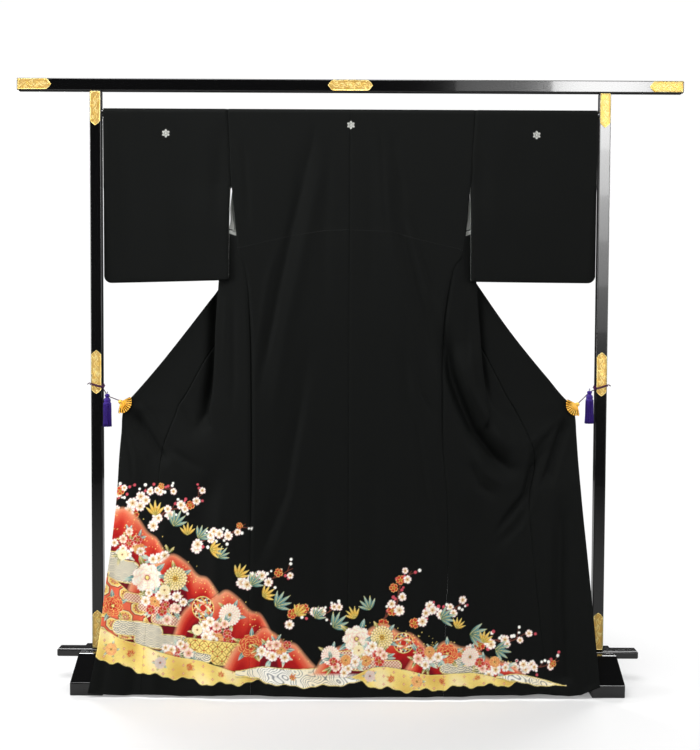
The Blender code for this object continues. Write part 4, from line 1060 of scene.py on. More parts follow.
hemWork = (  # in the order painted: what it is, then its places in mm and its sizes
    ("spray", ((-660, 470), (-640, 520), (-620, 552)), 6),
    ("spray", ((-600, 470), (-575, 515), (-530, 545), (-480, 552)), 11),
    ("spray", ((-540, 455), (-500, 490), (-450, 505), (-398, 540)), 10),
    ("spray", ((-430, 390), (-375, 425), (-335, 430), (-280, 462)), 9),
    ("spray", ((-300, 300), (-250, 322), (-205, 318), (-150, 345)), 8),
    ("spray", ((-170, 200), (-120, 228), (-70, 222), (-18, 252)), 8),
    ("spray", ((90, 205), (130, 250), (140, 296), (172, 340)), 9),
    ("spray", ((180, 200), (220, 232), (262, 232), (322, 262)), 9),
    ("spray", ((330, 130), (385, 156), (435, 150), (490, 178)), 8),
    ("spray", ((420, 80), (470, 92), (515, 84), (572, 98)), 8),
    ("bamboo", ((-478, 452, 1.0), (-410, 420, 0.5), (-352, 372, 0.9), (-262, 300, 0.6), (-196, 246, 0.5),
     (-88, 214, 1.2), (-40, 190, 0.9), (250, 214, 0.6), (330, 172, 0.3), (398, 132, 0.2), (60, 236, 1.9)),
     ("green", "teal", "paleTeal"), 46),
    ("bamboo", ((-530, 478, 2.0), (-440, 428, 1.3), (-376, 392, 0.2), (-300, 322, 1.0), (-230, 270, 0.9),
     (-140, 222, 0.8), (20, 214, 2.3), (292, 190, 0.9), (364, 150, 0.8)), ("olive", "gold", "paleGold"),
     38),
    ("hill", ((-745, 470), (-700, 494), (-660, 486), (-620, 502), (-578, 476), (-548, 436), (-520, 418),
     (-488, 368), (-462, 300), (-440, 230)), ((-745, 150), (-440, 140)), "haze"),
    ("dust", (-640, 470, -500, 360, 16, 60)),
    ("bank", ((-745, 372, -640, 360, 20), (-690, 346, -590, 336, 20), (-640, 318, -560, 308, 16)),
     "waves"),
    ("cluster", (-598, 398, 44, 34, 11)),
    ("cluster", (-512, 352, 34, 30, 8)),
    ("hill", ((-625, 190), (-600, 290), (-565, 346), (-524, 350), (-482, 380), (-440, 360), (-408, 326),
     (-376, 316), (-338, 262), (-305, 170)), ((-625, 120), (-305, 110)), "haze"),
    ("dust", (-480, 360, -350, 250, 14, 50)),
    ("hill", ((-745, 318), (-690, 326), (-630, 300), (-580, 258), (-545, 205), (-520, 160)), ((-745, 140),
     (-640, 150), (-520, 148)), "brocade"),
    ("bank", ((-600, 262, -540, 248, 13), (-560, 236, -490, 222, 14), (-520, 206, -420, 194, 14)),
     "spots"),
    ("peony", (-548, 312, 42, 0.3), roseStops),
    ("mum", (-470, 312, 33, 0.1), goldStops),
    ("cluster", (-500, 250, 62, 36, 15)),
    ("peony", (-640, 236, 30, 1.3), redStops),
    ("hill", ((-480, 150), (-452, 222), (-412, 258), (-372, 262), (-330, 290), (-292, 268), (-262, 236),
     (-232, 224), (-198, 168), (-180, 120)), ((-480, 100), (-180, 96)), "haze"),
    ("dust", (-340, 276, -230, 180, 12, 46)),
    ("bank", ((-620, 182, -520, 172, 20), (-560, 152, -450, 142, 20), (-480, 122, -380, 112, 18)),
     "waves"),
    ("ball", (-392, 236, 31, 0.4)),
    ("mum", (-318, 222, 30, 0.7), tealStops),
    ("cluster", (-360, 176, 50, 30, 13)),
    ("bank", ((-430, 138, -300, 130, 18), (-350, 108, -220, 100, 18)), "rings"),
    ("hill", ((-335, 90), (-305, 140), (-268, 158), (-232, 188), (-196, 178), (-168, 154), (-138, 148),
     (-102, 108), (-60, 66)), ((-335, 70), (-60, 60)), "haze"),
    ("dust", (-230, 176, -120, 110, 10, 34)),
    ("peony", (-262, 140, 33, 1.1), redStops),
    ("cluster", (-196, 126, 42, 24, 10)),
    ("cluster", (-468, 122, 44, 20, 10)),
    ("hill", ((-745, 186), (-680, 182), (-610, 150), (-540, 130), (-460, 106), (-380, 94), (-300, 72),
     (-225, 48)), ((-745, 122), (-680, 104), (-610, 82), (-540, 62), (-460, 52), (-380, 40), (-300, 42),
     (-225, 46)), "gold", 0.005),
    ("hill", ((-290, 76), (-220, 86), (-140, 80), (-60, 84), (20, 78), (90, 60)), ((-290, 64), (-220, 46),
     (-140, 34), (-60, 36), (20, 44), (90, 58)), "stream", 0.003),
    ("hill", ((-96, 70), (-62, 122), (-20, 144), (22, 158), (62, 192), (104, 202), (142, 180), (172, 178),
     (208, 148), (250, 92)), ((-96, 62), (250, 60)), "haze"),
    ("dust", (20, 186, 210, 160, 12, 50)),
    ("bank", ((-40, 112, 60, 118, 15), (10, 92, 130, 90, 15)), "spots"),
    ("hill", ((150, 80), (188, 132), (228, 138), (264, 158), (304, 144), (344, 138), (382, 110),
     (432, 98), (495, 58)), ((150, 66), (330, 52), (495, 52)), "haze"),
    ("dust", (220, 150, 440, 90, 10, 46)),
    ("bank", ((200, 104, 300, 100, 14), (260, 82, 370, 76, 13)), "waves"),
    ("ball", (150, 150, 27, 1.0)),
    ("peony", (24, 160, 38, 0.8), roseStops),
    ("mum", (92, 164, 32, 0.4), goldStops),
    ("cluster", (60, 118, 48, 22, 11)),
    ("peony", (268, 122, 30, 1.2), redStops),
    ("cluster", (214, 116, 36, 22, 8)),
    ("mum", (330, 112, 25, 0.9), tealStops),
    ("cluster", (390, 84, 44, 16, 8)),
    ("mum", (-46, 116, 26, 0.9), tealStops),
    ("cluster", (-12, 92, 36, 16, 8)),
    ("hill", ((10, 60), (80, 86), (150, 80), (230, 66), (310, 72), (380, 62), (460, 44)), ((10, 56),
     (80, 34), (150, 26), (230, 28), (310, 36), (380, 36), (460, 42)), "gold", 0.005),
    ("hill", ((410, 62), (460, 66), (520, 54), (580, 36)), ((410, 58), (460, 44), (520, 36), (580, 34)),
     "stream", 0.002),
    ("maple", ((-700, 150, 22, 0.9), (-585, 110, 20, 2.2), (-430, 78, 20, 0.3), (-340, 62, 16, 1.4),
     (120, 54, 19, 2.6), (250, 48, 17, 0.5), (350, 54, 15, 1.7), (-150, 56, 17, 0.8))),
    ("mum", (-640, 124, 17, 0.9), wineStops),
    ("mum", (-505, 92, 16, 0.2), greenStops),
    ("mum", (186, 50, 16, 0.9), wineStops),
    ("mum", (60, 62, 15, 0.2), greenStops),
)
fills = {
    "haze": haze, "brocade": brocade, "waves": seaWaves, "rings": rings, "gold": goldCloth, "spots": spots,
    "stream": streamLines,
}


def paintHem(x, z, ground):
    canvas = Canvas(x, z, ground)
    chance = np.random.default_rng(painting["seed"])
    for kind, first, *rest in hemWork:
        if kind == "spray":
            spray(canvas, chance, first, *rest)
        elif kind == "bamboo":
            for x, z, turn in first:
                bambooLeaves(canvas, x, z, turn + chance.normal(0, 0.25),
                             rest[1] * chance.uniform(0.75, 1.15), rest[0])
        elif kind == "hill":
            hill(canvas, first, rest[0], fills[rest[1]], *rest[2:])
        elif kind == "bank":
            bank(canvas, first, fills[rest[0]])
        elif kind == "dust":
            goldDust(canvas, chance, *first)
        elif kind == "cluster":
            cluster(canvas, chance, *first)
        elif kind == "ball":
            threadBall(canvas, *first)
        elif kind == "maple":
            for place in first:
                maple(canvas, *place)
        else:
            outline = {"wine": "paleGold", "deepGold": "brown"}.get(rest[0][0], "pink")
            peonyLeaves(canvas, *first[:3], first[3] + 0.3)
            flower(canvas, kind, *first, rest[0], outline)
    return canvas


crest = {
    "radius": 0.0112, "dye": tint(205, 206, 200), "centre": (0.002, 1.556), "left": (-0.510, 1.531),
    "right": (0.516, 1.531),
}


def paintCrest(canvas, x, z):
    # a plain rosette of six petals
    here, dx, dz = canvas.near(x, z, crest["radius"] * 1.2)
    r, a = np.hypot(dx, dz), np.arctan2(dz, dx) - math.pi / 2
    u = a * 6 / (2 * math.pi)
    u = u - np.round(u)
    lobe = crest["radius"] * (0.84 + 0.16 * np.cos(2 * math.pi * u))
    canvas.lay(here, inside(r - lobe) * 0.9, crest["dye"])
    vein = (abs(u) * 2 * math.pi * r / 6 < 0.0006) & (r > crest["radius"] * 0.34)
    canvas.lay(here, vein * (r < crest["radius"] * 0.72) * 0.75, "ink")
    notch = inside((0.5 - abs(u)) * 2 * math.pi * r / 6 - 0.00055) * (r > crest["radius"] * 0.42)
    canvas.lay(here, notch * 0.8, "ink")
    canvas.lay(here, line(r - crest["radius"] * 0.30, 0.0006) * 0.8, "ink")


# Materials

def newMaterial(name):
    # a material, its tree, its shader and the places its patterns follow
    made = bpy.data.materials.new(name)
    made.use_nodes = True
    tree = made.node_tree
    return made, tree, tree.nodes["Principled BSDF"], addNode(tree, "ShaderNodeTexCoord").outputs["Object"]


def addNode(tree, kind, settings=None, **inputs):
    made = tree.nodes.new(kind)
    for name, value in (settings or {}).items():
        setattr(made, name, value)
    return feed(tree, made, **inputs)


def feed(tree, node, **inputs):
    # gives a node's inputs their values or links: Base_Color by name, _2 by place
    for name, value in inputs.items():
        socket = node.inputs[int(name[1:]) if name[0] == "_" else name.replace("_", " ")]
        if isinstance(value, bpy.types.NodeSocket):
            tree.links.new(value, socket)
        else:
            socket.default_value = (*value, 1) if socket.type == "RGBA" else value
    return node


def noise(tree, at, scale, detail, **more):
    return addNode(tree, "ShaderNodeTexNoise", Vector=at, Scale=scale, Detail=detail, **more).outputs[0]


def combined(tree, how, *values):
    inputs = {f"_{k}": value for k, value in enumerate(values)}
    return addNode(tree, "ShaderNodeMath", {"operation": how}, **inputs).outputs[0]


def spread(tree, value, *limits):
    # a value between two limits, spread from one result to another
    inputs = {f"_{k + 1}": limit for k, limit in enumerate(limits) if limit is not None}
    return addNode(tree, "ShaderNodeMapRange", Value=value, **inputs).outputs[0]


def blended(tree, share, a, b, how="MIX"):
    return addNode(tree, "ShaderNodeMix", {"data_type": "RGBA", "blend_type": how}, Factor=share, A=a,
                   B=b).outputs[2]


def shaded(tree, colour, tone):
    return blended(tree, 1.0, colour, tone, "MULTIPLY")


def bumped(tree, height, strength, distance):
    return addNode(tree, "ShaderNodeBump", Height=height, Strength=strength, Distance=distance).outputs[0]


def attribute(tree, name, output="Fac"):
    return addNode(tree, "ShaderNodeAttribute", {"attribute_name": name}).outputs[output]


def silkMaterial(name, values):
    made, tree, shader, at = newMaterial(name)
    v = values
    squeezed = addNode(tree, "ShaderNodeMapping", Vector=at, Scale=(1, 1, v["grainStretch"])).outputs[0]
    grain = noise(tree, squeezed, v["grainScale"], 3.0, Roughness=0.6)
    weave = combined(tree, "MULTIPLY_ADD", noise(tree, at, v["grainScale"] * 0.23, 2.0), 0.5, grain)
    tone = spread(tree, weave, 0.4, 1.1, v["toneLow"], v["toneHigh"])
    if v.get("painted"):
        foil = attribute(tree, "foil")
        feed(tree, shader, Base_Color=shaded(tree, attribute(tree, "paint", "Color"), tone),
             Metallic=combined(tree, "MULTIPLY", foil, v["foilMetal"]),
             Roughness=spread(tree, foil, None, None, v["roughness"], v["foilRoughness"]))
    else:
        feed(tree, shader, Base_Color=shaded(tree, v["colour"], tone), Roughness=v["roughness"])
    feed(tree, shader, Normal=bumped(tree, weave, v["grainStrength"], 0.0006), Sheen_Weight=v["sheen"],
         Sheen_Roughness=0.35, Sheen_Tint=v["sheenTint"], Specular_IOR_Level=v["specular"])
    return made


silk = {
    "black": {
        "painted": True, "grainScale": 1500, "grainStretch": 2.2, "grainStrength": 0.55, "toneLow": 0.8,
              "toneHigh": 1.2,
        "roughness": 0.68, "foilMetal": 0.45, "foilRoughness": 0.36, "sheen": 0.006, "specular": 0.07,
        "sheenTint": (0.7, 0.75, 0.72),
    },
    "white": {
        "colour": (0.60, 0.61, 0.58), "grainScale": 1100, "grainStretch": 1.5, "grainStrength": 0.25,
        "toneLow": 0.94, "toneHigh": 1.03, "roughness": 0.45, "sheen": 0.15, "specular": 0.5,
              "sheenTint": (1, 1, 1),
    },
    # painted shade: the white lining in the slits gets a darker grey colour of its own, standing in for the
    # shade it lies in
    "slit": {"colour": (0.235, 0.248, 0.225),
             "sheen": 0.06},  # the white lining in the slits, seen in shade
    "hemLining": {
        "painted": False, "colour": (0.0038, 0.0042, 0.0038), "grainStrength": 0.4, "roughness": 0.6,
                  "specular": 0.1,
    },
    "ground": (0.0034, 0.0040, 0.0036),  # the black of the cloth
    "hakkakeTop": 0.62,  # the black lining of the hem reaches this high inside
}
blackSilk = silkMaterial("black crepe silk", silk["black"])
whiteSilk = silkMaterial("white silk lining", silk["white"])
slitSilkPaintedShade = silkMaterial("white silk lining in the slits", {**silk["white"], **silk["slit"]})
hemSilk = silkMaterial("black hem lining", {**silk["black"], **silk["hemLining"]})


def paintPoints(points):
    # colour and gold foil of the cloth at its points
    canvas = paintHem(points[:, 0], points[:, 2], silk["ground"])
    if points[:, 2].max() > 1.5:
        for place in ("centre", "left", "right"):
            paintCrest(canvas, *crest[place])
        hidden = (points[:, 2] > 1.2) & (points[:, 1] > rodY)
        canvas.colour[hidden] = silk["ground"]
    return canvas.colour, canvas.foil


def clothPiece(name, outer, inner, slot, node, wall=None, edgeShare=0.45,
               finish=None):
    points, quads, tris, outerCount = closedShell(outer, inner, wall or cloth["wall"], edgeShare)
    obj = addMesh(name, points, quads, tris, (finish,) if finish else (blackSilk, whiteSilk, hemSilk))
    if not finish:
        heights = np.concatenate([points[quads].mean(axis=1)[:, 2], points[tris].mean(axis=1)[:, 2]])
        inside = np.concatenate([quads.min(axis=1), tris.min(axis=1)]) >= outerCount
        index = np.where(inside, np.where(heights > silk["hakkakeTop"], 1, 2), 0)
        obj.data.polygons.foreach_set("material_index", index.astype(np.int32))
    colour, foil = paintPoints(points)
    addValues(obj, "paint", "FLOAT_COLOR", "color", np.column_stack([colour, np.ones(len(points))]))
    addValues(obj, "foil", "FLOAT", "value", foil)
    finishPiece(obj, slot, node)


panels = {  # what makes each, the size it was cut to, its flat area on the left and right, what holds it
    "back": (backSheet, (0.350, 1.610), (0.463, 0.460), ("hanging_rod",)),
    "front": (frontSheet, (0.305, 1.600), (0.435, 0.422), ("hanging_rod",)),
    "okumi": (okumiSheet, (0.160, 1.330), (0.147, 0.166), ("front",)),
}
for side, label in ((-1, "left"), (1, "right")):
    for kind, (make, flat, areas, rests) in panels.items():
        outer, inner = make(side, cloth["paintStep"]), make(side, 0.006)
        clothPiece(f"{kind}_{label}_silk", outer, inner, "black_silk", f"{kind}_{label}")
    print("panels", label)


# Sleeves: rings from the body side to the cuff, which is sewn shut below its opening

sleeveSpots = {-1: 0.510, 1: 0.516}  # where the crest sits, out from the centre
sleeveFolds = {  # (x, z) along each in mm, half width, depth, as for the folds
    -1: (
        ((352, 1560), (362, 1440), (372, 1300), 15, 3.0), ((420, 1585), (398, 1450), (392, 1240), 26, -2.4),
        ((640, 1560), (622, 1380), (600, 1180), 34, 2.6), ((520, 1440), (505, 1300), (498, 1130), 30, -1.8),
    ),
    1: (
        ((356, 1560), (366, 1430), (380, 1290), 15, 3.0), ((432, 1585), (408, 1440), (404, 1230), 26, -2.4),
        ((630, 1570), (640, 1400), (655, 1200), 30, 2.4), ((540, 1460), (530, 1300), (520, 1130), 32, -1.6),
    ),
}
cuff = {"seamFootZ": 1.388, "openAbove": 1.372, "corner": 0.020, "footRadius": 0.0042}


def sleeveRing(side, share, sizes, rows, arcSteps, footSteps):
    outer, corner = sizes["outer"], math.radians(max(share - 1, 0) * 90)
    foot = np.interp(share, (0, 1), sizes["foot"]) + cuff["corner"] * (1 - math.cos(corner))
    low = foot + cuff["footRadius"]
    near = (1 - min(share, 1)) ** 1.6
    bend = 1.30  # rows below this height are spread down to the foot
    z = np.where(rows > bend, rows, low + (rows - rows[-1]) * (bend - low) / (bend - rows[-1]))

    def place(z, wall):
        seam = ease(cuff["seamFootZ"] - 0.004, cuff["seamFootZ"], z)
        line = np.interp(z, (cuff["seamFootZ"], 1.605), (sizes["seamFoot"], sizes["seamTop"]))
        inner = line * seam + sizes["inner"] * (1 - seam) + cloth["seamGap"] / 2
        x = inner + (outer - cuff["corner"] - inner) * min(share, 1) + cuff["corner"] * math.sin(corner)
        atCuff, atBody = read(sleeveWalls, "cuff", z), read(sleeveWalls, "front" if wall < 0 else "rear", z)
        y = wall * atCuff * (1 - near) + atBody * near
        bellied = np.zeros(len(z))
        for *line, width, height in sleeveFolds[side]:
            away, along = lineDistance(line, x, z)
            fade = np.sin(math.pi * np.clip(0.06 + along * 0.88, 0, 1)) ** 0.7
            bellied += height * mm * fade * np.exp(-((away / (width * mm)) ** 2))
        ends = max(min((1.55 - share) / 0.55, 1), 0) * min(share / 0.06 + 0.3, 1)
        ends = ends * ease(rodZ, rodZ - 0.05, z) * ease(low, low + 0.02, z)
        y = y + bellied * ends * (1 if wall < 0 else 0.45)
        return x, y

    def shut(y, middle, z):
        closing = ease(cuff["openAbove"] + 0.022, cuff["openAbove"], z)
        return middle + (y - middle) * (1 - closing * (1 - max(math.cos(corner), 0) ** 0.5))

    over = np.linspace(0, 1, arcSteps)[:-1] * math.pi / 2
    top = rodZ + drapeRadius * np.cos(over)
    xTop, _ = place(top, -1)
    (xFront, yFront), (xRear, yRear) = place(z, -1), place(z, 1)
    middle = (yFront + yRear) / 2
    yFront, yRear = shut(yFront, middle, z), shut(yRear, middle, z)
    under = np.linspace(0, math.pi, footSteps)[1:-1]
    half = (yRear[-1] - yFront[-1]) / 2
    yUnder = middle[-1] - half * np.cos(under)
    zUnder = z[-1] - cuff["footRadius"] * np.sin(under)
    parts = [
        (xTop, -drapeRadius * np.sin(over), top), (xFront, yFront, z),
        (np.full(len(under), xFront[-1]), yUnder, zUnder), (xRear[::-1], yRear[::-1], z[::-1]),
        (xTop[:0:-1], drapeRadius * np.sin(over[:0:-1]), top[:0:-1]),
    ]
    x, y, z = (np.concatenate([np.broadcast_to(part[k], part[2].shape) for part in parts])
               for k in range(3))
    return np.stack([side * x, y + rodY, z], -1)


def sleeveSheet(side, coarse):
    sizes = sleeveSizes[side]
    fine = 1 if coarse == 1 else 4
    rows = spaced((rodZ, 1.5475, 0.006 * coarse), (1.5475, 1.5145, 0.0011 * fine),
                  (1.5145, 1.395, 0.0065 * coarse), (1.395, cuff["openAbove"], 0.0035 * coarse),
                  (cuff["openAbove"], 1.340, 0.005 * coarse), (1.340, 1.1265, 0.0075 * coarse))
    arcSteps, footSteps = int(9 / coarse) + 1, int(9 / coarse) + 2
    spot = (sleeveSpots[side] - sizes["inner"]) / (sizes["outer"] - cuff["corner"] - sizes["inner"])
    reach = 0.0155 / 0.33
    shares = spaced((0, spot - reach, 0.030 * coarse), (spot - reach, spot + reach, 0.0034 * fine),
                    (spot + reach, 0.95, 0.030 * coarse), (0.95, 1, 0.02 * coarse), (1, 2, 0.125 * coarse))
    rings = np.array([sleeveRing(side, share, sizes, rows, arcSteps, footSteps) for share in shares])
    count = rings.shape[1]
    numbers = np.arange(len(shares) * count).reshape(-1, count)
    # Below the opening the last ring's two walls meet: its rear points are its front ones.
    shutFrom = arcSteps - 1 + int(np.argmax(rows < cuff["openAbove"] + 1e-6))
    for c in range(shutFrom, count // 2 + 1):
        mirror = count - c
        if mirror > c:
            rings[-1, c] = (rings[-1, c] + rings[-1, mirror]) / 2
            numbers[-1, mirror] = numbers[-1, c]
    onward = np.roll(numbers, -1, axis=1)
    quads = np.stack([numbers[:-1], onward[:-1], onward[1:], numbers[1:]], -1).reshape(-1, 4)
    points = rings.reshape(-1, 3)
    upward = faceNormals(points, quads)[numbers[len(shares) // 2, 0], 2] > 0
    return onlyUsed(points, quads if upward else quads[:, ::-1])


for side, label in ((-1, "left"), (1, "right")):
    outer, inner = sleeveSheet(side, 1), sleeveSheet(side, 2.5)
    clothPiece(f"sleeve_{label}_silk", outer, inner, "black_silk", f"sleeve_{label}")
print("sleeves")


# The collar: one folded band from the neck down both front edges

collar = {
    "width": 0.055, "out": 0.0040, "neckEnd": 0.0750, "low": 0.815, "step": 0.006,
    # where it turns down: x of its seam, the seam's angle over the rod, how far it stands off, and x and z
    # of its free edge
    "turn": ((75, 2, 0, 75, 1549), (77, 9, 0.4, 75.5, 1548.6), (79, 16, 1, 76, 1548),
             (79.8, 33, 2.6, 75.2, 1546.6), (80.5, 50, 4.5, 74, 1545), (81, 67, 7.2, 70.6, 1541.4),
             (81.5, 84, 10, 66, 1537)),
}


def collarHang(x, angle=2.0, out=0.0, lowX=None, lowZ=1549.0, arcSteps=7, fallSteps=8):
    lowX = x if lowX is None else lowX
    radius = drapeRadius + out * mm
    a = np.radians(angle + (90 - angle) * 0.76 * np.linspace(0, 1, arcSteps))
    arc = np.stack([np.full(arcSteps, x), radius * np.sin(a), rodZ + radius * np.cos(a)], -1)
    high = min(rodZ - 0.002, arc[-1, 2] - 0.004)
    share = np.linspace(0, 1, fallSteps + 1)[1:]
    fall = [x + (lowX - x) * share, radius + 0.0006 * share, high + (lowZ * mm - high) * share]
    return np.concatenate([arc, np.stack(fall, -1)])


def collarRow(side, z, count):
    table = frontTable[side]
    step = 0.02
    x, above, below = (float(read(table, "edge", np.array([at]))[0]) for at in (z, z - step, z + step))
    turn = math.atan2(1, (above - below) / (2 * step)) * float(ease(1.62, 1.50, z))
    away = np.linspace(0, 1, count) * collar["width"]
    px, pz = x - away * math.sin(turn), z - away * math.cos(turn)
    places = frontPoints(side, pz, np.linspace(5.3, 9, 40))
    y = [np.interp(a, *inOrder(side * row[:, 0], row[:, 1])) for a, row in zip(px, places)]
    return np.stack([side * px, np.array(y) - rodY + collar["out"], pz], -1)


def inOrder(xs, values):
    rank = np.argsort(xs)
    return xs[rank], values[rank]


def plainWall(name, grid, slot, node, wall, want, finish):
    # a sheet whose two faces have the same points
    cells, points = gridFaces(*grid.shape[:2]), grid.reshape(-1, 3)
    if (faceNormals(points, cells) * want).sum() < 0:
        cells = cells[:, ::-1]
    sheet = (points, cells, noTris)
    clothPiece(name, sheet, sheet, slot, node, wall=wall, edgeShare=0.55,
               finish=finish)


def makeCollar():
    count = 15
    xs = np.linspace(-collar["neckEnd"] + 0.00035, collar["neckEnd"] - 0.00035, 23)
    neck = np.array([collarHang(x) for x in xs])
    plainWall("collar_neck_silk", neck + (0, rodY, 0), "black_silk", "collar_neck", cloth["wall"],
              (0, 1, 0.5), blackSilk)
    for side, label in ((-1, "left"), (1, "right")):
        rows = [collarHang(side * x * mm, angle, out, side * lowX * mm, lowZ) for x, angle, out, lowX,
                lowZ in collar["turn"]]
        heights = np.linspace(1.560, collar["low"], int((1.560 - collar["low"]) / collar["step"]))
        rows += [collarRow(side, z, count) for z in heights]
        grid = np.array(rows)
        pullIn(grid, 0, 0, 0.00035)
        # the rows of the turn blend into the rows along the front
        for _ in range(3):
            grid[5:12] = (grid[4:11] + 2 * grid[5:12] + grid[6:13]) / 4
        plainWall(f"collar_{label}_silk", grid + (0, rodY, 0), "black_silk", f"collar_{label}",
                  cloth["wall"],
                  (0, 1, 0), blackSilk)


makeCollar()
print("collar")


# The white lining that shows in the slit under each sleeve

liningRows = ((1.500, 0.01), (1.440, 0.01), (1.388, 0.01), (1.360, 0.02), (1.330, 0.03), (1.295, 0.05),
              (1.246, 0.17))


def makeLinings():
    z = np.linspace(1.500, 1.246, 44)
    inset = np.interp(z, *np.array(liningRows)[::-1].T)
    for side, label in ((-1, "left"), (1, "right")):
        grid = []
        for height, start in zip(z, 2.85 + inset):
            t = np.concatenate([np.linspace(start, 3.3, 9), np.linspace(3.3, 3.75, 8)[1:]])
            grid.append(frontPoints(side, np.array([height]), t)[0])
        grid = np.array(grid) - (0, cloth["wall"] / 2 + cloth["liningWall"] / 2 + 0.0006, 0)
        plainWall(f"lining_{label}_silk", grid, "white_silk", f"lining_{label}", cloth["liningWall"],
                  (0, -1, 0), slitSilkPaintedShade)


makeLinings()
print("slit linings")


# What repeats - nails, stitches, tassel threads - is one small mesh copied to many places

def repeatTree():
    tree = bpy.data.node_groups.new("copies at places", "GeometryNodeTree")
    tree.is_modifier = True
    for name, kind in (("Geometry", "Geometry"), ("Unit", "Object"), ("Size", "Float"),
                       ("Finish", "Material")):
        tree.interface.new_socket(name, in_out="INPUT", socket_type=f"NodeSocket{kind}")
    tree.interface.new_socket("Geometry", in_out="OUTPUT", socket_type="NodeSocketGeometry")
    given = addNode(tree, "NodeGroupInput").outputs
    unit = addNode(tree, "GeometryNodeObjectInfo", Object=given["Unit"])
    turn, size = (addNode(tree, "GeometryNodeInputNamedAttribute", {"data_type": kind},
                          Name=name).outputs[0]
                  for name, kind in (("turn", "FLOAT_VECTOR"), ("size", "FLOAT")))
    copies = addNode(tree, "GeometryNodeInstanceOnPoints", Points=given["Geometry"],
                     Instance=unit.outputs["Geometry"],
                     Rotation=addNode(tree, "FunctionNodeEulerToRotation", Euler=turn).outputs[0],
                     Scale=combined(tree, "MULTIPLY", size, given["Size"]))
    real = addNode(tree, "GeometryNodeRealizeInstances", _0=copies.outputs[0])
    done = addNode(tree, "GeometryNodeSetMaterial", Geometry=real.outputs[0], Material=given["Finish"])
    addNode(tree, "NodeGroupOutput", _0=done.outputs[0])
    return tree


copyTree = repeatTree()


def repeat(name, places, unit, finish):
    # places: (point, turn as angles, size)
    points, turns, sizes = zip(*places)
    carrier = addMesh(name, points, [])
    addValues(carrier, "turn", "FLOAT_VECTOR", "vector", turns)
    addValues(carrier, "size", "FLOAT", "value", sizes)
    copies = carrier.modifiers.new("copies", "NODES")
    copies.node_group = copyTree
    values = {"Unit": unit, "Size": 1.0, "Finish": finish}
    for item in copyTree.interface.items_tree:
        if item.in_out == "INPUT" and item.name in values:
            copies[item.identifier] = values[item.name]
    plainMesh(carrier)
    bpy.data.objects.remove(unit)
    return carrier


def plainMesh(obj):
    # the object with its modifiers worked into its mesh
    made = bpy.data.meshes.new_from_object(obj.evaluated_get(bpy.context.evaluated_depsgraph_get()))
    obj.modifiers.clear()
    obj.data = made
    return obj


def lathe(profile, count, centre=(0, 0, 0), axis="Z", ripple=None):
    # points and faces of a closed turned form; profile runs (radius, height) from one pole to the other
    points = [(0, 0, profile[0][1])]
    for radius, height in profile[1:-1]:
        for a in (2 * math.pi * k / count for k in range(count)):
            r = radius * (ripple(a, height) if ripple else 1)
            points.append((r * math.cos(a), r * math.sin(a), height))
    points.append((0, 0, profile[-1][1]))
    last, quads, tris = len(points) - 1, [], []
    for k in range(count):
        n = (k + 1) % count
        tris += [(0, 1 + n, 1 + k), (last, last - count + k, last - count + n)]
        quads += [(a + k, a + n, a + count + n, a + count + k) for a in range(1, last - count, count)]
    points, quads, tris = np.array(points, float), np.array(quads), np.array(tris)
    if profile[-1][1] < profile[0][1]:
        quads, tris = quads[:, ::-1], tris[:, ::-1]
    if axis == "Y":
        points = points[:, (0, 2, 1)] * (1, 1, -1)
    if axis == "X":
        points = points[:, (2, 0, 1)]
    return points + np.array(centre), quads, tris


def gatherParts(name, parts, materials=()):
    points, quads, tris, count = [], [], [], 0
    for partPoints, partQuads, partTris in parts:
        points.append(partPoints)
        quads.append(np.asarray(partQuads, int).reshape(-1, 4) + count)
        tris.append(np.asarray(partTris, int).reshape(-1, 3) + count)
        count += len(partPoints)
    return addMesh(name, *(np.concatenate(lists) for lists in (points, quads, tris)), materials)


# The stand: black lacquer on wood, every edge rounded by hand

lacquer = {
    "colour": (0.0016, 0.0016, 0.0018), "roughness": 0.13, "coatRoughness": 0.035, "waveScale": 3.2,
    "wave": 0.05, "speckScale": 260, "dust": 0.02,
}
stand = {
    "postX": 0.705, "postWidth": 0.0315, "postDepth": 0.026, "barLength": 1.842, "barHeight": 0.033,
         "barDepth": 0.029,
    "barZ": 1.6643, "railLength": 1.636, "railDepth": 0.045, "railLow": 0.068, "railTop": 0.0893,
         "footWidth": 0.090,
    "footHalf": 0.155, "footFlat": 0.052, "footTop": 0.086, "footEnd": 0.035, "touch": 0.0003,
    "edge": 0.0026, "railEdge": 0.0045, "footEdge": 0.0030, "rodRadius": 0.010, "rodEnd": 0.6991,
}


def lacquerMaterial():
    made, tree, shader, at = newMaterial("black lacquer")
    wave, fine = noise(tree, at, lacquer["waveScale"], 1.0), noise(tree, at, lacquer["speckScale"], 2.0)
    bump = bumped(tree, combined(tree, "MULTIPLY_ADD", fine, 0.012, wave), lacquer["wave"], 0.004)
    rough = lacquer["roughness"]
    feed(tree, shader, Normal=bump, Coat_Normal=bump, Coat_Weight=0.6,
         Coat_Roughness=lacquer["coatRoughness"],
         Base_Color=shaded(tree, lacquer["colour"], spread(tree, wave, 0.35, 0.65, 0.9, 1.15)),
         Roughness=spread(tree, fine, 0.55, 0.75, rough, rough + lacquer["dust"]))
    return made


blackLacquer = lacquerMaterial()


def softEdges(obj, width, segments=4):
    bevel = obj.modifiers.new("soft edges", "BEVEL")
    bevel.width = width
    bevel.segments = segments
    bevel.limit_method = "ANGLE"
    bevel.angle_limit = math.radians(20)
    flats = obj.modifiers.new("flat faces stay flat", "WEIGHTED_NORMAL")
    flats.weight = 100
    return plainMesh(obj)


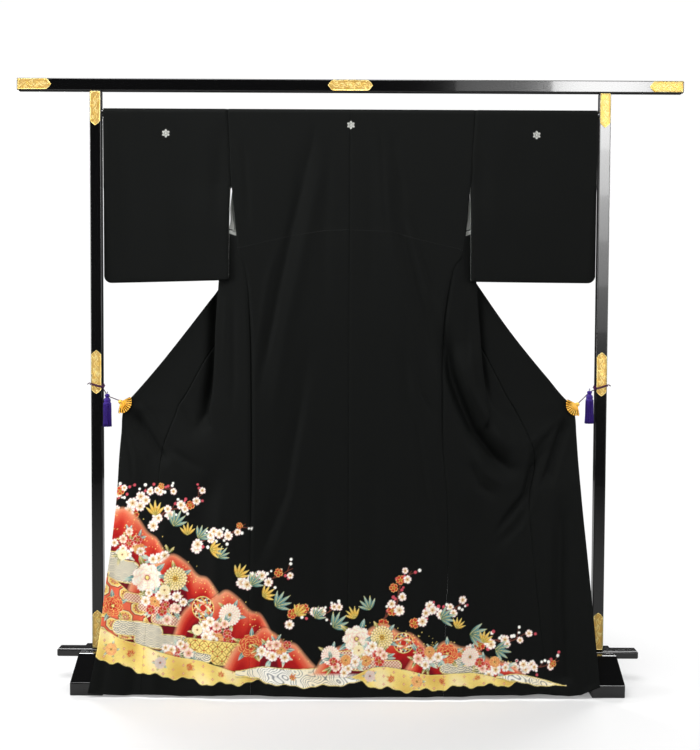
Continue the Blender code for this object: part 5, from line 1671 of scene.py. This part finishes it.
def woodBox(name, low, high, width):
    points = [(x, y + rodY, z) for x in (low[0], high[0]) for y in (low[1], high[1])
              for z in (low[2], high[2])]
    faces = [(0, 1, 3, 2), (4, 6, 7, 5), (0, 4, 5, 1), (2, 3, 7, 6), (0, 2, 6, 4), (1, 5, 7, 3)]
    obj = addMesh(name, points, faces, materials=(blackLacquer,))
    return finishPiece(softEdges(obj, width), "black_lacquer", name.replace("_lacquered", ""))


def makeStand():
    s = stand
    barLow, barHigh = s["barZ"] - s["barHeight"] / 2, s["barZ"] + s["barHeight"] / 2
    halfBar, halfRail, half, touch = s["barLength"] / 2, s["railLength"] / 2, s["postWidth"] / 2, s["touch"]
    woodBox("top_bar_lacquered", (-halfBar, -s["barDepth"] / 2, barLow),
            (halfBar, s["barDepth"] / 2, barHigh), s["edge"])
    woodBox("base_rail_lacquered", (-halfRail, -s["railDepth"] / 2, s["railLow"]),
            (halfRail, s["railDepth"] / 2, s["railTop"]), s["railEdge"])
    end, radius = s["rodEnd"], s["rodRadius"]
    profile = [(0, -end), (radius * 0.92, -end), (radius, -end + 0.0006)]
    profile += [(radius, x) for x in np.linspace(-end + 0.0012, end - 0.0012, 9)]
    profile += [(radius, end - 0.0006), (radius * 0.92, end), (0, end)]
    rod = gatherParts("hanging_rod_turned", [lathe(profile, 40, (0, rodY, rodZ), "X")], (blackLacquer,))
    finishPiece(rod, "black_lacquer", "hanging_rod")
    # half a foot's outline from the side, with the notch that the rail lies in
    notch, deep = s["railDepth"] / 2 + touch, s["railLow"] - touch
    low = [(s["footHalf"], 0), (s["footHalf"], s["footEnd"]), (s["footFlat"], s["footTop"]),
           (notch, s["footTop"]), (notch, deep)]
    outline = [(-low[0][0], 0)] + low + [(-y, z) for y, z in low[:0:-1]]
    for side, label in ((-1, "left"), (1, "right")):
        x = side * s["postX"]
        woodBox(f"post_{label}_lacquered", (x - half, -s["postDepth"] / 2, s["railTop"] + touch),
                (x + half, s["postDepth"] / 2, barLow - touch), s["edge"])
        mesh = bpy.data.meshes.new(f"foot_{label}_lacquered")
        build = bmesh.new()
        sides = [[build.verts.new((x + at * s["footWidth"] / 2, y + rodY, z)) for y, z in outline]
                 for at in (-1, 1)]
        build.faces.new(sides[0])
        build.faces.new(sides[1][::-1])
        for k in range(len(outline)):
            n = (k + 1) % len(outline)
            build.faces.new((sides[0][k], sides[1][k], sides[1][n], sides[0][n]))
        bmesh.ops.recalc_face_normals(build, faces=build.faces)
        build.to_mesh(mesh)
        build.free()
        mesh.materials.append(blackLacquer)
        mesh.shade_smooth()
        finishPiece(softEdges(addObject(mesh.name, mesh), s["footEdge"], 3), "black_lacquer",
                    f"foot_{label}")


makeStand()
print("stand")


# Gilt fittings: thin plates with a raised rim and chased scrolls, held by round nails

fitting = {
    "thick": 0.0012, "barEnd": 0.092, "barMiddle": 0.124, "postTop": 0.094, "postMiddle": 0.123,
           "postFoot": 0.106,
    "middleZ": 0.869, "tip": 0.014, "inset": 0.002, "step": 0.0010, "rim": 0.0016, "field": 0.00045,
           "relief": 0.00042,
    "scroll": 0.031, "stem": 0.00075, "nail": 0.0016,
}
gilt = {"colour": (1.0, 0.70, 0.18), "pale": (1.0, 0.88, 0.40), "shade": (0.58, 0.31, 0.06),
        "roughness": 0.32,
        "worn": 0.42}
fanGilt = {
    "colour": (0.97, 0.44, 0.035), "pale": (1.0, 0.60, 0.12), "shade": (0.045, 0.013, 0.001),
    "roughness": 0.26, "worn": 0.36,
}


def giltMaterial(name, grooved, gilt=gilt):
    made, tree, shader, at = newMaterial(name)
    cloudy, fine = noise(tree, at, 70, 3.0), noise(tree, at, 1400, 2.0)
    colour = blended(tree, spread(tree, cloudy, 0.35, 0.65), gilt["colour"], gilt["pale"])
    if grooved:
        colour = blended(tree, attribute(tree, "groove"), colour, gilt["shade"])
    feed(tree, shader, Base_Color=colour,
         Roughness=spread(tree, cloudy, 0.3, 0.7, gilt["roughness"], gilt["worn"]),
         Normal=bumped(tree, fine, 0.12, 0.0002), Metallic=0.5, Specular_IOR_Level=0.15)
    return made


giltPlain = giltMaterial("gilt brass", False)
giltChased = giltMaterial("chased gilt brass", True)
giltFan = giltMaterial("gilt brass fan", True, fanGilt)


def plateHalf(u, length, width, pointed):
    # half width of a fitting at places u along it: an ogee at a pointed end
    half = np.full(u.shape, width / 2)
    for end, isPointed in zip((-1, 1), pointed):
        share = np.clip((end * u - (length / 2 - fitting["tip"])) / fitting["tip"], 0, 1)
        if isPointed:
            half = half * (1 - share) ** 0.80 * (1 + 0.16 * np.sin(math.pi * share))
    return np.maximum(half, 0.00015)


def strokesDistance(u, v, strokes):
    runs = [(*a, *b) for points in strokes for a, b in zip(points, points[1:])]
    best = np.full(u.shape, 9.0)
    for run in runs:
        best = np.minimum(best, segmentDistance(u, v, *run)[0])
    return best


def scrollStrokes(length, width):
    # a winding stem with a curl in each bend
    pitch = length / max(round(length / fitting["scroll"]), 2)
    places = np.linspace(-length / 2 + 0.006, length / 2 - 0.006, 60)
    stem = [(u, 0.17 * width * math.sin(2 * math.pi * u / pitch)) for u in places]
    strokes, bends, radius = [stem], int(length / pitch * 2), 0.185 * width
    for k in range(bends + 1):
        at = (k - bends / 2) * pitch / 2
        up = 1 if math.sin(2 * math.pi * (at + pitch / 4) / pitch) > 0 else -1
        centre = np.array([at + pitch * 0.25, -up * 0.10 * width])
        if abs(centre[0]) < length / 2 - radius - 0.004:
            def spot(r, a):
                return centre + r * np.array([math.cos(a), math.sin(a)])
            strokes.append([spot(radius * (1 - a / (3.1 * math.pi)), up * a + math.pi)
                            for a in np.linspace(0, 2.6 * math.pi, 30)])
            for a in (up * turn + math.pi for turn in (0.7, 2.1, 3.6)):
                start = spot(radius * 0.95, a)
                way = np.array([math.cos(a - 0.5 * up), math.sin(a - 0.5 * up)])
                strokes.append([start, start + 0.0028 * way])
    return strokes


def plateSurface(length, width, pointed):
    # top of one fitting: places along it, across it and above the wood, and how deep in its ground they lie
    end, step = length / 2, fitting["step"]
    low, high = ((fitting["tip"] if isPointed else 0.002) for isPointed in pointed)
    u = spaced((-end, -end + low, 0.0007), (-end + low, end - high, step), (end - high, end, 0.0007))
    across = np.linspace(-0.87, 0.87, int(width * 0.87 / step))
    t = np.concatenate([[-1, -0.965, -0.92], across, [0.92, 0.965, 1]])
    half = plateHalf(u, length, width, pointed)
    U, T = np.meshgrid(u, t, indexing="ij")
    V = T * half[:, None]
    border = (half[:, None] - abs(V)) / np.sqrt(1 + np.gradient(half, u)[:, None] ** 2)
    for way, isPointed in zip((-1, 1), pointed):
        if not isPointed:
            border = np.minimum(border, end - way * U)
    lip = fitting["thick"] * np.sqrt(np.clip(border / 0.0005, 0, 1)) * 0.98 + 0.00002
    rim = ease(fitting["rim"] + 0.0005, fitting["rim"], border)
    scroll = 1 - ease(fitting["stem"] * 0.55, fitting["stem"] * 1.5,
                      strokesDistance(U, V, scrollStrokes(length, width)))
    if pointed == (True, True):
        # a flower in the middle, in a ring
        middle = np.hypot(U, V)
        petals = 0.0062 * (0.80 + 0.20 * np.cos(8 * np.arctan2(V, U)))
        scroll = np.maximum(scroll * (middle > 0.0088), 1 - ease(0.0, 0.0007, middle - petals))
        scroll = np.maximum(scroll, 1 - ease(0.0003, 0.0007, abs(middle - 0.0080)))
        scroll = scroll * ease(0.0015, 0.0022, middle) + 1.3 * (middle < 0.0017)
    field = fitting["field"] + fitting["relief"] * scroll
    height = np.minimum(lip, field + (fitting["thick"] - field) * rim)
    return U, V, height, np.clip((1 - scroll) * (1 - rim), 0, 1) * 0.75


def plateParts(U, V, height, groove, place, face):
    # place turns (along, across, above) into a point; face says which way the plate looks
    rows, cols = U.shape
    skip = 4 if rows % 4 == 1 else 1  # the flat back needs fewer rows
    top, back = place(U.ravel(), V.ravel(), height.ravel()), place(U[::skip].ravel(), V[::skip].ravel(), 0)
    topQuads, backQuads = gridFaces(rows, cols), gridFaces(len(back) // cols, cols)
    if faceNormals(top, topQuads)[:, 1].mean() * face < 0:
        topQuads, backQuads = topQuads[:, ::-1], backQuads[:, ::-1]
    points = np.concatenate([top, back])
    tris = zipLoops(points, borderLoops(topQuads)[0],
                    [number + len(top) for number in borderLoops(backQuads)[0]])
    quads = np.concatenate([topQuads, backQuads[:, ::-1] + len(top)])
    return points, quads, tris, np.concatenate([groove.ravel(), np.full(len(back), 0.3)])


def makePlates():
    f, s = fitting, stand
    inset, touch = f["inset"], s["touch"]
    wide = {"bar": s["barHeight"] - 2 * inset, "post": s["postWidth"] - 2 * inset}
    deep = {"bar": s["barDepth"] / 2 + touch, "post": s["postDepth"] / 2 + touch}
    end = s["barLength"] / 2 - inset - 0.001 - f["barEnd"] / 2
    topZ = s["barZ"] - s["barHeight"] / 2 - touch - inset - f["postTop"] / 2
    footZ = s["railTop"] + touch + inset + f["postFoot"] / 2
    # name, kind, middle, length, and which ends are pointed
    fittings = [("bar_left", "bar", -end, s["barZ"], "barEnd", (False, True)),
                ("bar_middle", "bar", 0, s["barZ"], "barMiddle", (True, True)),
                ("bar_right", "bar", end, s["barZ"], "barEnd", (True, False))]
    for label, x in (("left", -s["postX"]), ("right", s["postX"])):
        fittings += [(f"{label}_top", "post", x, topZ, "postTop", (True, False)),
                     (f"{label}_middle", "post", x, f["middleZ"], "postMiddle", (True, True)),
                     (f"{label}_foot", "post", x, footZ, "postFoot", (False, True))]
    nails = []
    for name, kind, x, z, size, pointed in fittings:
        length, width = f[size], wide[kind]
        surface = plateSurface(length, width, pointed)
        spots = []
        for level, isPointed in zip((-1, 1), pointed):
            at = level * (length / 2 - (f["tip"] * 0.62 if isPointed else 0.0042))
            spots += [(at, 0)] if isPointed else [(at, -width * 0.33), (at, width * 0.33)]
            if isPointed:
                spots += [(level * (length / 2 - f["tip"] - 0.0035), way * width * 0.36) for way in (-1, 1)]
        for face, suffix in ((-1, ""), (1, "_rear")):
            def place(u, v, up):
                y = face * (deep[kind] + up) + rodY
                spots = (x + u, y, z + v) if kind == "bar" else (x + v, y, z + u)
                return np.stack(np.broadcast_arrays(*spots), -1)
            points, quads, tris, depths = plateParts(*surface, place, face)
            obj = addMesh(f"plate_{name}{suffix}_chased", points, quads, tris, (giltChased,))
            addValues(obj, "groove", "FLOAT", "value", depths)
            finishPiece(obj, "gilt_fitting", f"plate_{name}{suffix}")
            nails += [(place(u, v, f["field"] + 0.0001), (-face * math.radians(90), 0, 0), 1.0) for u,
                      v in spots]
    r = f["nail"]
    profile = [(0, -0.0003), (r * 0.9, -0.0003), (r, 0.0001), (r * 0.93, 0.0005), (r * 0.7, 0.0009),
               (r * 0.36, 0.00112),
               (0, 0.0012)]
    head = gatherParts("nail_head", [lathe(profile, 14)], (giltPlain,))
    finishPiece(repeat("fitting_nails", nails, head, giltPlain), "gilt_fitting")


makePlates()
print("gilt fittings")


# Fan-shaped clips: pleated gilt sheet, a pivot through the edge of the cloth and a jaw behind it

clip = {
    "places": {-1: (0.6375, 0.7865), 1: (0.6375, 0.7855)}, "frontY": -0.0185, "rearY": -0.0060,
        "radius": 0.0325,
    "inner": 0.0050, "blades": 10, "from": 153, "to": 281, "sheet": 0.0007, "pleat": 0.0021,
        "barrel": 0.0038,
    "stepsPerBlade": 12, "rings": 34,
}


def turnedSheet(grid, wall):
    # a closed thin wall on a grid of points that looks towards the viewer
    points, cells = grid.reshape(-1, 3), gridFaces(*grid.shape[:2])
    if faceNormals(points, cells)[:, 1].mean() > 0:
        cells = cells[:, ::-1]
    return closedShell((points, cells, noTris), (points, cells, noTris), wall, 0.6)[:3]


def makeClips():
    c = clip
    count = c["blades"] * c["stepsPerBlade"] + 1
    share = np.linspace(0, 1, count)
    inBlade = abs(((share * c["blades"]) % 1) - 0.5)[:, None] * 2  # 1 at a fold's valley, 0 on the rib
    inBlade[-1] = 1
    radius = c["radius"] * (1 - 0.09 * inBlade**2.2)
    R = c["inner"] + (radius - c["inner"]) * np.linspace(0, 1, c["rings"])
    A = np.radians(c["from"] + (c["to"] - c["from"]) * share)[:, None]
    out = R / c["radius"]
    relief = -c["pleat"] * (1 - inBlade**1.3) * out
    rings = sum(np.exp(-(((R - at) / 0.0006) ** 2)) for at in (0.0125, 0.0205))
    dots = np.exp(-(((R - 0.0245) / 0.0011) ** 2) - ((inBlade * 3.0) ** 2))
    relief = relief - 0.00030 * rings - 0.0004 * dots - 0.0004 * ease(0.94, 1.0, R / radius)
    depths = (ease(0.24, 0.60, inBlade) * ease(0.34, 0.60, out) * ease(1.0, 0.94, R / radius)).ravel()
    dome = [(0, 0.0016), (0.0052, 0.0016), (0.0059, 0.0012), (0.0060, -0.0004), (0.0056, -0.0012),
            (0.0047, -0.0015),
            (0.0042, -0.0013), (0.0037, -0.0022), (0.0026, -0.0030), (0.0012, -0.0034), (0, -0.0035)]
    deep, barrel = c["rearY"] - c["frontY"], c["barrel"]
    pin = [(0, deep + 0.0020), (0.0036, deep + 0.0020), (barrel, deep + 0.0012)]
    pin += [(barrel, h) for h in np.linspace(deep, 0.0015, 8)] + [(0.0036, 0.0012), (0, 0.0012)]
    # the jaw: a smaller plain leaf with a turned lip
    margin = 0.18 * (c["to"] - c["from"])
    JA = np.radians(np.linspace(c["from"] + margin, c["to"] - margin, 25))[:, None]
    JR = np.linspace(0.0, 0.027, 14)[None, :]
    for side, label in ((-1, "left"), (1, "right")):
        x, z = c["places"][side]
        front = np.stack([side * (x + R * np.cos(A)), c["frontY"] + relief + rodY, z + R * np.sin(A)], -1)
        lip = c["rearY"] + rodY + 0.0009 * ease(0.022, 0.027, JR) + 0 * JA
        jaw = np.stack([side * (x + JR * np.cos(JA)), lip, z + JR * np.sin(JA)], -1)
        jaw[:, 0] += np.concatenate([side * 0.0008 * np.cos(JA), 0 * JA, 0.0008 * np.sin(JA)], 1)
        turned = [lathe(profile, sides, (side * x, c["frontY"] + rodY, z), "Y") for profile,
                  sides in ((dome, 36), (pin, 24))]
        parts = [turnedSheet(front, 2 * c["sheet"]), *turned, turnedSheet(jaw, 0.0012)]
        obj = gatherParts(f"clip_{label}_fan", parts, (giltFan,))
        addValues(obj, "groove", "FLOAT", "value",
                  np.pad(depths, (0, len(obj.data.vertices) - len(depths))))
        finishPiece(obj, "gilt_fitting", f"clip_{label}")


makeClips()
print("clips")


# Purple cords and tassels

purple = {
    "colour": (0.018, 0.002, 0.150), "light": (0.050, 0.010, 0.27), "roughness": 0.5, "specular": 0.25,
    "sheen": 0.06,
}
cordPurple = {
    "colour": (0.030, 0.001, 0.035), "light": (0.105, 0.006, 0.085), "roughness": 0.5, "specular": 0.25,
    "sheen": 0.0,
}
tassel = {
    "places": {-1: (0.6735, 0.8090), 1: (0.6705, 0.8240)}, "y": -0.0200, "threads": 360,
    "thread": 0.00045, "skirt": 0.0108, "fall": 0.0665, "lean": 0.7, "seed": 11,
    "head": (  # knot and bound head: how far down and the radius there, mm
        (0, 1.4), (0.3, 2.4), (1.2, 5.0), (2.5, 6.4), (4.5, 7.0), (6.5, 6.6), (8.4, 5.4), (10, 4.4),
        (11.2, 5.6), (13.5, 8.2), (16.8, 9.2), (20, 9.5), (21.4, 9.0), (22.5, 8.6), (23.8, 9.2), (25, 9.9),
        (26.5, 10.3), (28.5, 9.8),
    ),
}
cordSizes = {
    "radius": 0.0014, "strands": 3, "pitch": 0.0052, "z": {-1: 0.8255, 1: 0.8275}, "rise": 0.0095,
    "lay": 0.0031, "sides": 7, "step": 0.0007,
}


def purpleMaterial(name, purple):
    made, tree, shader, at = newMaterial(name)
    stretched = addNode(tree, "ShaderNodeMapping", Vector=at, Scale=(1, 1, 0.05)).outputs[0]
    streak = noise(tree, stretched, 2600, 2.0)
    feed(tree, shader,
         Base_Color=blended(tree, spread(tree, streak, 0.35, 0.7), purple["colour"], purple["light"]),
         Normal=bumped(tree, streak, 0.4, 0.0002), Roughness=purple["roughness"],
         Sheen_Weight=purple["sheen"], Sheen_Roughness=0.3, Specular_IOR_Level=purple["specular"])
    return made


purpleSilk = purpleMaterial("purple silk floss", purple)
purpleCord = purpleMaterial("purple silk cord", cordPurple)


def tube(path, radius, sides, twist=None):
    # points and faces of a closed tube along a path; twist gives each point's own centre off the path
    path = np.asarray(path, float)
    along = np.gradient(path, axis=0)
    along /= np.linalg.norm(along, axis=1, keepdims=True)
    normal = np.cross(along[0], (0.3, 0.2, 1.0))
    frames = []
    for t in along:
        normal = normal - t * (normal @ t)
        normal /= np.linalg.norm(normal)
        frames.append((normal, np.cross(t, normal)))
    rings = []
    for i, (centre, (n, b)) in enumerate(zip(path, frames)):
        if twist:
            a, off = twist(i)
            centre = centre + off * (math.cos(a) * n + math.sin(a) * b)
        for k in range(sides):
            a = 2 * math.pi * k / sides
            rings.append(centre + radius * (math.cos(a) * n + math.sin(a) * b))
    base = (len(path) - 1) * sides
    ends = [(0, k + 1, k) for k in range(1, sides - 1)]
    ends += [(base, base + k, base + k + 1) for k in range(1, sides - 1)]
    return np.array(rings), ringFaces(len(path), sides), ends


def evenPath(points, step):
    last = len(points) - 1
    curve = smoothCurve(points, np.append(np.arange(0, last - 1, 1 / 16), np.linspace(last - 1, last, 16)))
    run = np.concatenate([[0], np.cumsum(np.linalg.norm(np.diff(curve, axis=0), axis=1))])
    at = np.linspace(0, run[-1], int(run[-1] / step) + 1)
    return np.stack([np.interp(at, run, curve[:, k]) for k in range(3)], -1), run[-1]


def cordRoute(side):
    x, z = clip["places"][side]
    hangX, hangZ = tassel["places"][side]
    hangZ -= 0.006
    out = cordSizes["radius"] + 0.0005
    front = -stand["postDepth"] / 2 - stand["touch"] - fitting["thick"] - out
    near, far = stand["postX"] - stand["postWidth"] / 2 - out, stand["postX"] + stand["postWidth"] / 2 + out
    startX, startZ = x + 0.0033, z + 0.0033
    tieY = tassel["y"] + 0.0052 + stand["touch"] + cordSizes["radius"]
    up, rise, x0 = cordSizes["z"][side], cordSizes["rise"], stand["postX"]
    face = [(near + 0.0006, front + 0.0018, 0), (near + 0.0042, front, 0.1), (x0, front - 0.0003, 0.5),
            (far - 0.0042, front, 0.9), (far - 0.0006, front + 0.0018, 1)]
    behind = [(far, front + 0.0060, 1), (far + 0.0003, 0, 1), (far, -front - 0.0060, 1),
              (far - 0.0006, -front - 0.0018, 1), (far - 0.0042, -front, 0.9), (x0, -front + 0.0003, 0.7),
              (near + 0.0042, -front, 0.5), (near + 0.0006, -front - 0.0018, 0.45),
              (near, -front - 0.0060, 0.4), (near - 0.0002, 0, 0.36)]
    route = [
        (startX, clip["frontY"] + 0.0045, startZ),
        ((startX + hangX) / 2, tieY, (startZ + hangZ) / 2 - 0.0005), (hangX, tieY, hangZ),
        ((hangX + near) / 2 + 0.001, tieY - 0.001, (hangZ + up) / 2 + 0.001),
    ]
    route += [(px, py, up + rise * share) for px, py, share in face + behind]
    up += cordSizes["lay"]
    route += [(px, py, up + rise * share) for px, py, share in face]
    route += [(far + 0.0030, front + 0.0050, up + rise), (far + 0.0085, front + 0.0060, up + rise - 0.0035)]
    return [(side * px, py + rodY, pz) for px, py, pz in route]


def makeCords():
    for side, label in ((-1, "left"), (1, "right")):
        path, length = evenPath(cordRoute(side), cordSizes["step"])
        parts = []
        for strand in range(cordSizes["strands"]):
            def twist(i, strand=strand):
                turn = i * cordSizes["step"] / cordSizes["pitch"] + strand / cordSizes["strands"]
                return 2 * math.pi * turn, cordSizes["radius"] * 0.48
            parts.append(tube(path, cordSizes["radius"] * 0.56, cordSizes["sides"], twist))
        # the loop of the knot on the post's inner edge
        knotX, knotZ = stand["postX"] - stand["postWidth"] / 2 - 0.0052, cordSizes["z"][side] + 0.0062
        loop = [(side * (knotX + 0.0028 * math.sin(a)), rodY - 0.0190 + 0.0012 * math.cos(2 * a),
                 knotZ - 0.0050 * math.cos(a))
                for a in np.linspace(0, 2 * math.pi, 30)]
        parts.append(tube(loop, 0.0010, 7))
        cord = gatherParts(f"cord_{label}_twisted", parts, (purpleCord,))
        finishPiece(cord, "purple_silk", f"cord_{label}")
        print("cord", label, round(length, 4), "m")


def headProfile():
    heights, radii = (np.array(tassel["head"]) * mm).T
    down = np.linspace(0, heights[-1], 110)
    outline = np.pad(np.interp(down, heights, radii), 3, mode="edge")
    outline = np.convolve(outline, np.ones(7) / 7, mode="valid")
    bound = (down > 0.0205) & (down < 0.0245)
    outline = outline + np.where(bound, 0.00028 * abs(np.sin(down * 4400)), 0)
    return [(0, 0)] + [(r, -h) for r, h in zip(outline, down)] + [(0, -down[-1])]


def wound(a, h):
    # how thread round the knot and the head swells the turned shape
    if -h < 0.0095:
        return 1 + 0.045 * abs(math.sin(5 * a - h * 900)) - 0.02
    return 1 + 0.03 * abs(math.sin(17 * a - h * 60)) * (-h < 0.0200 or -h > 0.0250)


def makeTassels():
    t, profile = tassel, headProfile()
    chance = np.random.default_rng(t["seed"])
    for side, label in ((-1, "left"), (1, "right")):
        x, top = t["places"][side]
        place = (side * x, t["y"] + rodY, top)
        parts = [lathe(profile, 64, place, "Z", wound)]
        loop = [(side * x, tassel["y"] + rodY + 0.0045 * math.sin(a),
                 top + 0.0012 + 0.0042 * (1 - math.cos(a)) * 0.5) for a in np.linspace(0, 2 * math.pi, 24)]
        parts.append(tube(loop, 0.0007, 7))
        head = gatherParts(f"tassel_{label}_head", parts, (purpleSilk,))
        # threads of the skirt
        places = []
        for k in range(t["threads"]):
            r, a = t["skirt"] * math.sqrt((k + 0.5) / t["threads"]), k * 2.39996 + chance.normal(0, 0.1)
            tilt = math.radians(t["lean"]) * (r / t["skirt"]) ** 1.4 + chance.normal(0, math.radians(0.35))
            turn = Matrix.Rotation(tilt, 3, Vector((math.sin(a), -math.cos(a), 0)))
            turn = turn @ Matrix.Rotation(chance.uniform(0, 6.28), 3, "Z")
            point = (place[0] + r * math.cos(a), place[1] + r * math.sin(a), top - 0.0255)
            places.append((point, tuple(turn.to_euler()), chance.uniform(0.965, 1.005)))
        down = np.linspace(0, 1, 9)
        line = np.stack([0.0007 * np.sin(down * 5.0),
                         0.0005 * np.sin(down * 3.3 + 1.0) - 0.0005 * math.sin(1.0), -t["fall"] * down], -1)
        unit = gatherParts("tassel_thread", [tube(line, t["thread"], 5)], (purpleSilk,))
        skirt = repeat(f"tassel_{label}_threads", places, unit, purpleSilk)
        finishPiece(head, "purple_silk", f"tassel_{label}")
        finishPiece(skirt, "purple_silk", f"tassel_{label}")


makeCords()
makeTassels()
print("cords and tassels")


# Stitches along the sewn tuck across the back

stitch = {
    "length": 0.0030, "spacing": 0.0058, "thick": 0.00028, "proud": 0.0002,
    "colour": (0.030, 0.032, 0.031),
}


def threadMaterial():
    made, tree, shader, at = newMaterial("sewing thread")
    tone = spread(tree, noise(tree, at, 3500, 1.0), 0.3, 0.7, 0.7, 1.4)
    feed(tree, shader, Base_Color=shaded(tree, stitch["colour"], tone), Roughness=0.45)
    return made


sewingThread = threadMaterial()


def makeStitches():
    places = []
    for side in (-1, 1):
        for x in np.arange(0.004, 0.300, stitch["spacing"]):
            z = float(tuckLine(side * x)) + 0.0022
            width = float(read(backTable[side], "back", np.array([z]))[0])
            s = np.array([cloth["tuckZ"] + 0.0022])
            point = backPoints(side, s, np.array([x / width, (x + 0.003) / width]))[0]
            run = (point[1] - point[0]) * side
            turn = math.atan2(run[2], run[0])
            places.append((point[0] - (0, cloth["wall"] / 2 + stitch["proud"], 0), (0, -turn, 0), 1.0))
    long, r = stitch["length"] / 2, stitch["thick"]
    profile = [(0, -long), (r * 0.7, -long * 0.93), (r, -long * 0.6), (r, long * 0.6),
               (r * 0.7, long * 0.93), (0, long)]
    unit = gatherParts("stitch", [lathe(profile, 6, axis="X")], (sewingThread,))
    finishPiece(repeat("tuck_stitches", places, unit, sewingThread), "black_silk")


makeStitches()
print("stitches")


# Stage, lights and camera

stage = {
    "floorRadius": 4.2, "fadeFrom": 0.45, "fadeTo": 1.2, "white": 1.02, "ambient": 0.03, "floor": 0.74,
    "mirrored": 0.36,
}
camera = {
    "place": (0.0, -3.2 + rodY, 1.005),
    "pitch": 2.53,
    "roll": 0.28,
    "focalPixels": 1143,
    "frame": (700, 750),
    "centreX": 349,
}


def makeCamera():
    data = bpy.data.cameras.new("camera")
    data.sensor_width = 36
    data.lens = camera["focalPixels"] * data.sensor_width / camera["frame"][1]
    data.shift_x = (camera["frame"][0] / 2 - camera["centreX"]) / camera["frame"][1]
    obj = addObject("camera", data)
    pitch, roll = math.radians(90 - camera["pitch"]), math.radians(camera["roll"])
    turn = Matrix.Rotation(pitch, 4, "X") @ Matrix.Rotation(roll, 4, "Z")
    obj.matrix_world = Matrix.Translation(camera["place"]) @ turn
    bpy.context.scene.camera = obj


def makeStage():
    count = 128
    points = [(r * math.cos(2 * math.pi * k / count), r * math.sin(2 * math.pi * k / count), 0)
              for r in (0.0, 0.6, 1.2, 1.8, 2.4, 3.0, 3.6, stage["floorRadius"]) for k in range(count)]
    floor = addMesh("floor", points, np.array(ringFaces(len(points) // count, count))[:, ::-1])
    made, tree, shader, at = newMaterial("pale floor")
    away = addNode(tree, "ShaderNodeVectorMath", {"operation": "LENGTH"}, _0=at).outputs["Value"]
    fade = addNode(tree, "ShaderNodeMapRange", {"interpolation_type": "SMOOTHSTEP"}, Value=away,
                   _1=stage["fadeFrom"], _2=stage["fadeTo"]).outputs[0]
    glow = addNode(tree, "ShaderNodeEmission", Color=(1, 1, 1), Strength=stage["white"])
    ray = addNode(tree, "ShaderNodeLightPath").outputs
    pale = spread(tree, ray["Is Glossy Ray"], None, None, stage["floor"], stage["mirrored"])
    feed(tree, shader, Roughness=0.7, Base_Color=pale)
    mixed = addNode(tree, "ShaderNodeMixShader", Fac=combined(tree, "MULTIPLY", fade, ray["Is Camera Ray"]),
                    _1=shader.outputs[0], _2=glow.outputs[0])
    feed(tree, tree.nodes["Material Output"], Surface=mixed.outputs[0])
    floor.data.materials.append(made)
    world = bpy.data.worlds.new("studio")
    world.use_nodes = True
    bpy.context.scene.world = world
    tree = world.node_tree
    ray = addNode(tree, "ShaderNodeLightPath").outputs["Is Camera Ray"]
    feed(tree, tree.nodes["Background"], Color=(1, 1, 1),
         Strength=spread(tree, ray, None, None, stage["ambient"], stage["white"]))


def addLight(name, place, aim, size, power):
    data = bpy.data.lights.new(name, "AREA")
    data.shape = "RECTANGLE"
    data.size, data.size_y = size
    data.energy = power
    obj = addObject(name, data)
    obj.location = place
    obj.rotation_mode = "QUATERNION"
    obj.rotation_quaternion = (Vector(aim) - Vector(place)).to_track_quat("-Z", "Y")
    obj.visible_diffuse = "reflector" not in name


lights = [
    ("overhead softbox", (-0.5, -1.25, 3.7), (0, 0, 0.7), (2.2, 1.5), 114),
    ("left softbox", (-3.1, -0.95, 1.7), (0, 0, 0.85), (1.0, 2.0), 70),
    ("right softbox", (3.1, -1.1, 1.8), (0, 0, 0.85), (1.0, 2.0), 41),
    ("rear left softbox", (-1.9, 3.0, 2.5), (0, 0, 0.8), (1.6, 1.6), 95),
    ("rear right softbox", (2.1, 3.0, 2.3), (0, 0, 0.8), (1.6, 1.6), 75),
]
# The strips of a tall reflector that stands far to the right of the camera and shows in the lacquer:
# the height of each strip's middle and its brightness.
reflector = {
    "x": 1.46, "y": -3.4, "width": 0.62, "strip": 0.26, "strips": (
        (0.84, 0.5), (1.10, 1.5), (1.36, 3.2), (1.62, 5.7),
        (1.88, 9.8), (2.14, 13.8), (2.40, 16.0), (2.66, 16.0),
    ),
}
for level, glow in reflector["strips"]:
    size = (reflector["width"], reflector["strip"])
    lights.append(("reflector", (reflector["x"], reflector["y"], level), (reflector["x"], 0, level), size,
                   glow * math.pi * size[0] * size[1]))
for side in (-1, 1):  # tall wings that only the gilt's broad shine reaches
    lights.append(("reflector wing", (side * 2.35, -3.3, 1.0), (side * 0.7, 0, 0.9), (0.7, 1.8),
                   5.0 * math.pi * 1.26))
lights.append(("dim reflector", (0.85, -3.4, 2.36), (0.85, 0, 2.36), (0.5, 0.5), 1.7 * math.pi * 0.25))
makeCamera()
makeStage()
for light in lights:
    addLight(*light)
bpy.context.scene.view_settings.view_transform = "Standard"
print("stage, lights and camera")
